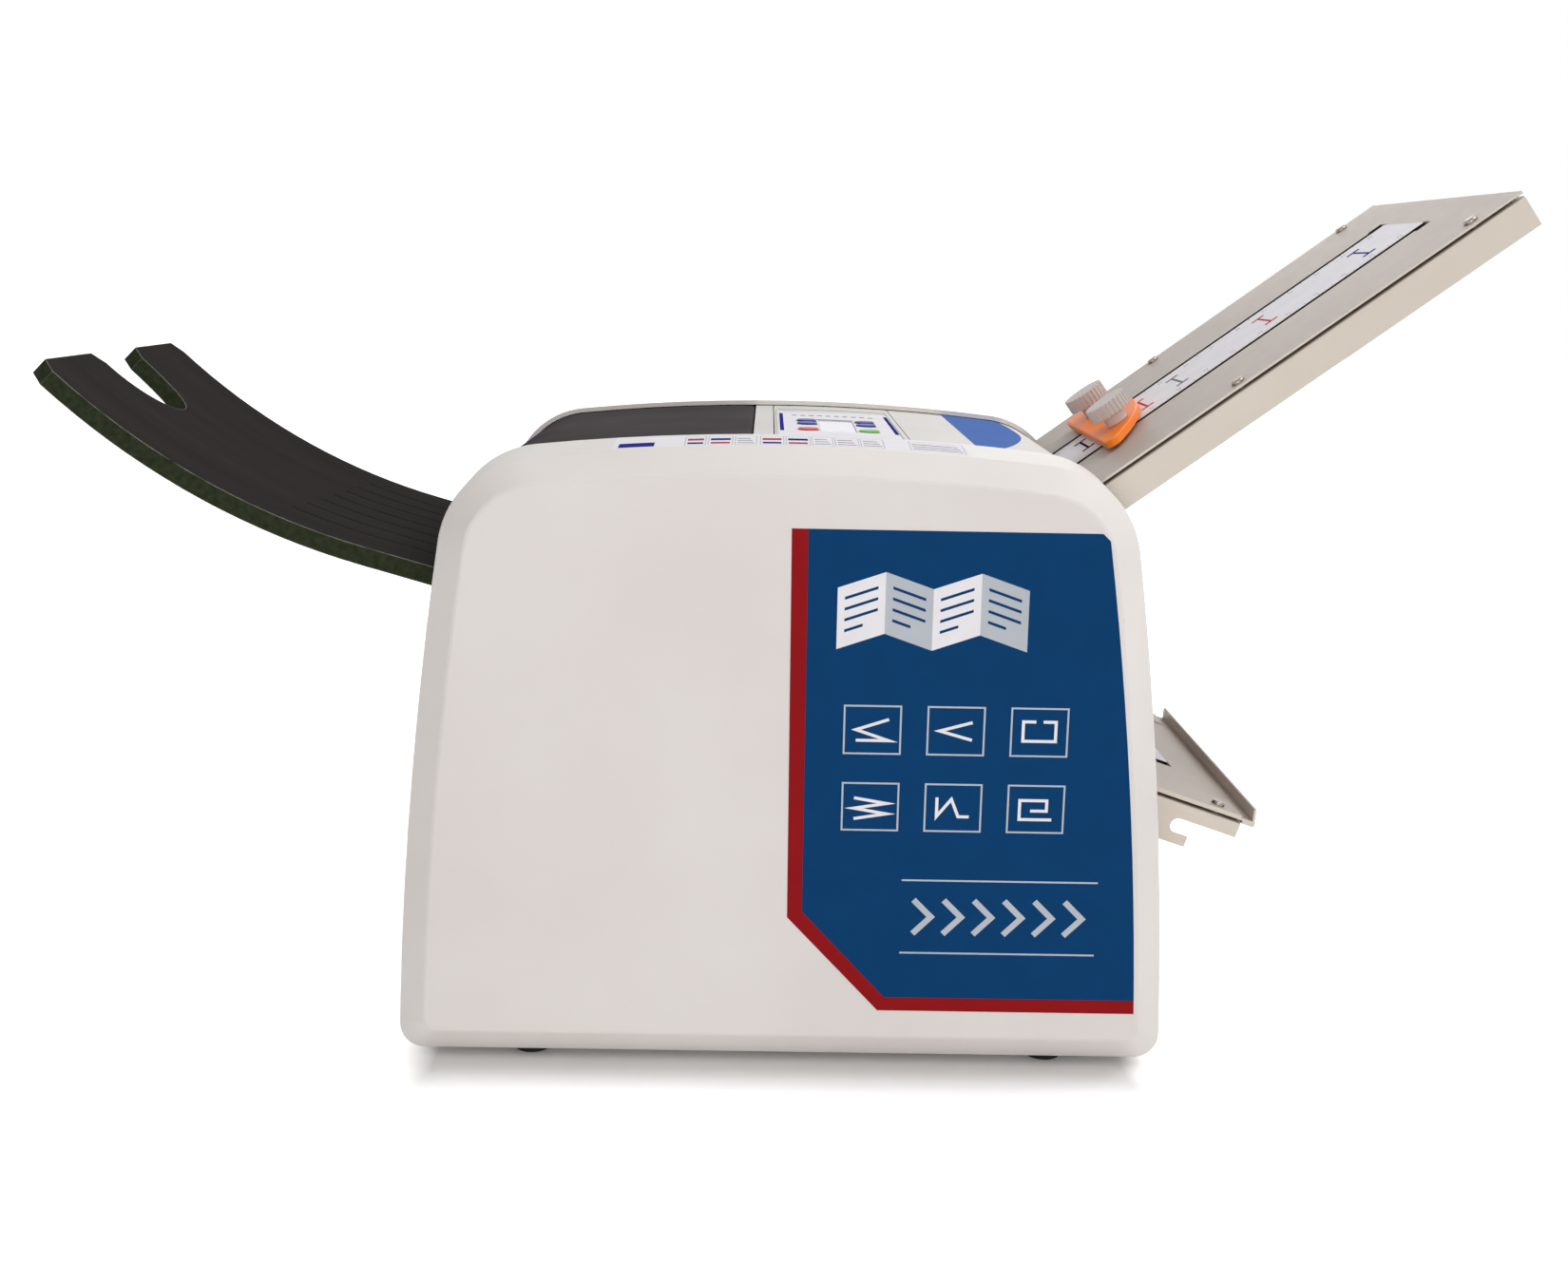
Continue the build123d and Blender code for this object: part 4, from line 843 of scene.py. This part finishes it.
def footprint(name, gap):
    """The rectangle that a part covers from above, widened by a gap."""
    low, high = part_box(name)
    return (low.x / mm - centre_x - gap, low.y / mm - gap,
            high.x / mm - centre_x + gap, high.y / mm + gap)


def key_hole(name):
    """Middle of a round key, half of the square round its hole and the hole's radius."""
    x0, y0, x1, y1 = footprint(name, window_gap)
    return ((x0 + x1) / 2, (y0 + y1) / 2, (x1 - x0) / 2 + 0.2, (x1 - x0) / 2)


def keypad_print(name, outlines, tone):
    slab(f"keypad_{name}", outlines, ink[tone], "machine", panel_top, film_thick, ink_thick,
         cut=curve_cut)


keypad = (-6.4, -118.0, 66.6, 75.0)
film("keypad_film", keypad, [footprint("display_window", window_gap)], ink["white"], "machine",
     panel_top, round_holes=[key_hole(name) for name in key_names])
bead, bead_gap, bead_thick = 1.4, 0.2, 0.5
bead_far = keypad[3] + 20
film("keypad_bead", (keypad[0] - bead, keypad[1] - bead, keypad[2] + bead, bead_far),
     [(keypad[0] - bead_gap, keypad[1] - bead_gap, keypad[2] + bead_gap, bead_far - bead)],
     strip_finish, "machine", panel_top, thick=bead_thick)
keypad_print("brackets", [bar(-5.8, -65.0, -3.4, 63.0), bar(63.8, -65.0, 66.2, 63.0)],
             "deep_blue")
marks = [bar(x, 44.5, x + 3.2, 49.5) for x in [2.5 + 5.6 * step for step in range(10)]]
keypad_print("marks", marks[:1] + marks[3:], "grey")
keypad_print("red_marks", marks[1:3], "mark_red")
window_x0, _, window_x1, window_far = footprint("display_window", 1.2)
keypad_print("window_line", [bar(window_x0, window_far, window_x1, window_far + 5.0)], "grey")
print("keypad with", len(key_names), "keys")

# %% [markdown]
# ## The blue top decal
# Behind the keypad lies a blue film whose right edge swells out in a long curve.

# %% Top decal
rear_top = on_top("rear_top_cover")
decal_half, decal_left = 128.8, 109.2
swell_x, swell_y, swell_bow = 154.0, 70.0, 0.00109
curve_steps = 24


def decal_right(y):
    """The swelling right edge."""
    return swell_x - swell_bow * (y - swell_y) ** 2


ys = [-decal_half + 2 * decal_half * step / curve_steps for step in range(curve_steps + 1)]
decal = [(decal_left, decal_half), (decal_left, -decal_half)]
decal += [(decal_right(y), y) for y in ys]
slab("top_decal", [decal], ink["blue"], "machine", rear_top, cut=6.0)
print("top decal", round(swell_x - decal_left), "mm at its widest")

# %% [markdown]
# ## Scales on the fold plates
# A white strip lies between the two slits of each plate.  It carries fine ruler ticks along
# both edges, plain numbers, and the H marks at which the stop is set for the usual folds.
# The strip and its print ride on the plate and slide with it.

# %% Scale makers
def tick_rows(start, end, half, pitch=5, long=4.0, short=2.2, margin=0.8, half_wide=0.15):
    """Long and short ticks in turn along both edges."""
    rows = []
    for number in range(int(start // pitch) + 1, int(end // pitch)):
        reach = short if number % 2 else long
        x = float(number * pitch)
        for side in (-1, 1):
            inner, outer = sorted((side * (half - reach), side * (half - margin)))
            rows.append(bar(x - half_wide, inner, x + half_wide, outer))
    return rows


def h_mark(x, half=14.0, leg=4.4, wide=3.8, thin=1.6):
    """Two legs along the plate, joined by a thin bar across it."""
    return [bar(x - leg, -half - wide, x + leg, -half), bar(x - leg, half, x + leg, half + wide),
            bar(x - thin / 2, -half, x + thin / 2, half)]


def digits(name, texts, size, finish, body, place, low):
    """Numbers as thin solids: each is set as type, turned into a mesh and carried to place()."""
    shape = bmesh.new()
    for text, x, y in texts:
        line = bpy.data.curves.new(name, "FONT")
        line.body, line.size, line.align_x = text, size, "CENTER"
        line.extrude, line.resolution_u = ink_thick / 2, 2
        setting = bpy.data.objects.new(name, line)
        bpy.context.scene.collection.objects.link(setting)
        bpy.context.view_layer.update()
        mesh = bpy.data.meshes.new_from_object(setting)
        mesh.transform(Matrix.Translation((x, y, low + ink_thick / 2)))
        shape.from_mesh(mesh)
        bpy.data.objects.remove(setting)
        bpy.data.meshes.remove(mesh)
    bmesh.ops.remove_doubles(shape, verts=shape.verts[:], dist=1e-5)
    for vert in shape.verts:
        vert.co = place(*vert.co)
    return new_piece(name, shape, finish, body)


scale_half, number_row, half_digit = 35.4, 27.0, 1.2


def scale(prefix, start, end, marks):
    """One plate's strip with its ticks, numbers and coloured H marks."""
    half, body, place = scale_half, f"{prefix}_plate", on_plate(prefix)
    film(f"{prefix}_scale", (start, -half, end, half), [], ink["white"], body, place,
         cut=end - start)
    slab(f"{prefix}_scale_ticks", tick_rows(start, end, half), ink["grey"], body, place,
         film_thick, ink_thick)
    centimetres = range(int(start // 10) + 1, int(end // 10), 2)
    numbers = [(str(n), n * 10.0, side * number_row - half_digit)
               for n in centimetres for side in (-1, 1)]
    digits(f"{prefix}_scale_numbers", numbers, 3.6, ink["grey"], body, place, film_thick)
    for index, (x, tone) in enumerate(marks):
        slab(f"{prefix}_scale_mark_{index}", h_mark(x), ink[tone], body, place, film_thick,
             ink_thick)
    print(prefix, "scale", end - start, "mm long with", len(marks), "marks")


print("scale strips are", 2 * scale_half, "mm wide")

# %% Both scales
scale("upper", 60.5, 404.0, [(165.5, "black"), (210.0, "mark_red"), (236.0, "grey"),
                             (301.5, "mark_red"), (373.0, "deep_blue")])
scale("lower", 30.5, 171.5, [(70.0, "deep_blue"), (98.0, "mark_red"), (131.0, "grey")])

# %% [markdown]
# ## Socket contacts
# The mains socket behind the casing has three metal blades.  They are small blocks whose edges
# are bevelled for real, since they are seen close to the socket's dark walls.

# %% Socket blades
def bevelled_box(name, low, high, radius, finish, body):
    """A small block with rounded edges."""
    shape = bmesh.new()
    bmesh.ops.create_cube(shape, size=1.0)
    for vert in shape.verts:
        vert.co = Vector(high[i] if vert.co[i] > 0 else low[i] for i in range(3))
    bmesh.ops.bevel(shape, geom=shape.edges[:], offset=radius, segments=3, affect="EDGES",
                    profile=0.5)
    return new_piece(name, shape, finish, body)


inlet_low, inlet_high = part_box("power_inlet")
inlet_z = (inlet_low.z + inlet_high.z) / 2
socket_y = (inlet_low.y + inlet_high.y) / 2 - 13.5 * mm
blade_x0, blade_x1 = inlet_high.x - 17.5 * mm, inlet_high.x - 2.6 * mm
half_wide, half_tall, blade_edge = 1.1 * mm, 2.1 * mm, 0.25 * mm
for index, shift in enumerate((-7.0, 0.0, 7.0)):
    y = socket_y + shift * mm
    bevelled_box(f"inlet_blade_{index}", (blade_x0, y - half_wide, inlet_z - half_tall),
                 (blade_x1, y + half_wide, inlet_z + half_tall), blade_edge, screw_finish,
                 "machine")
print("socket at", round(socket_y, 4), round(inlet_z, 4))
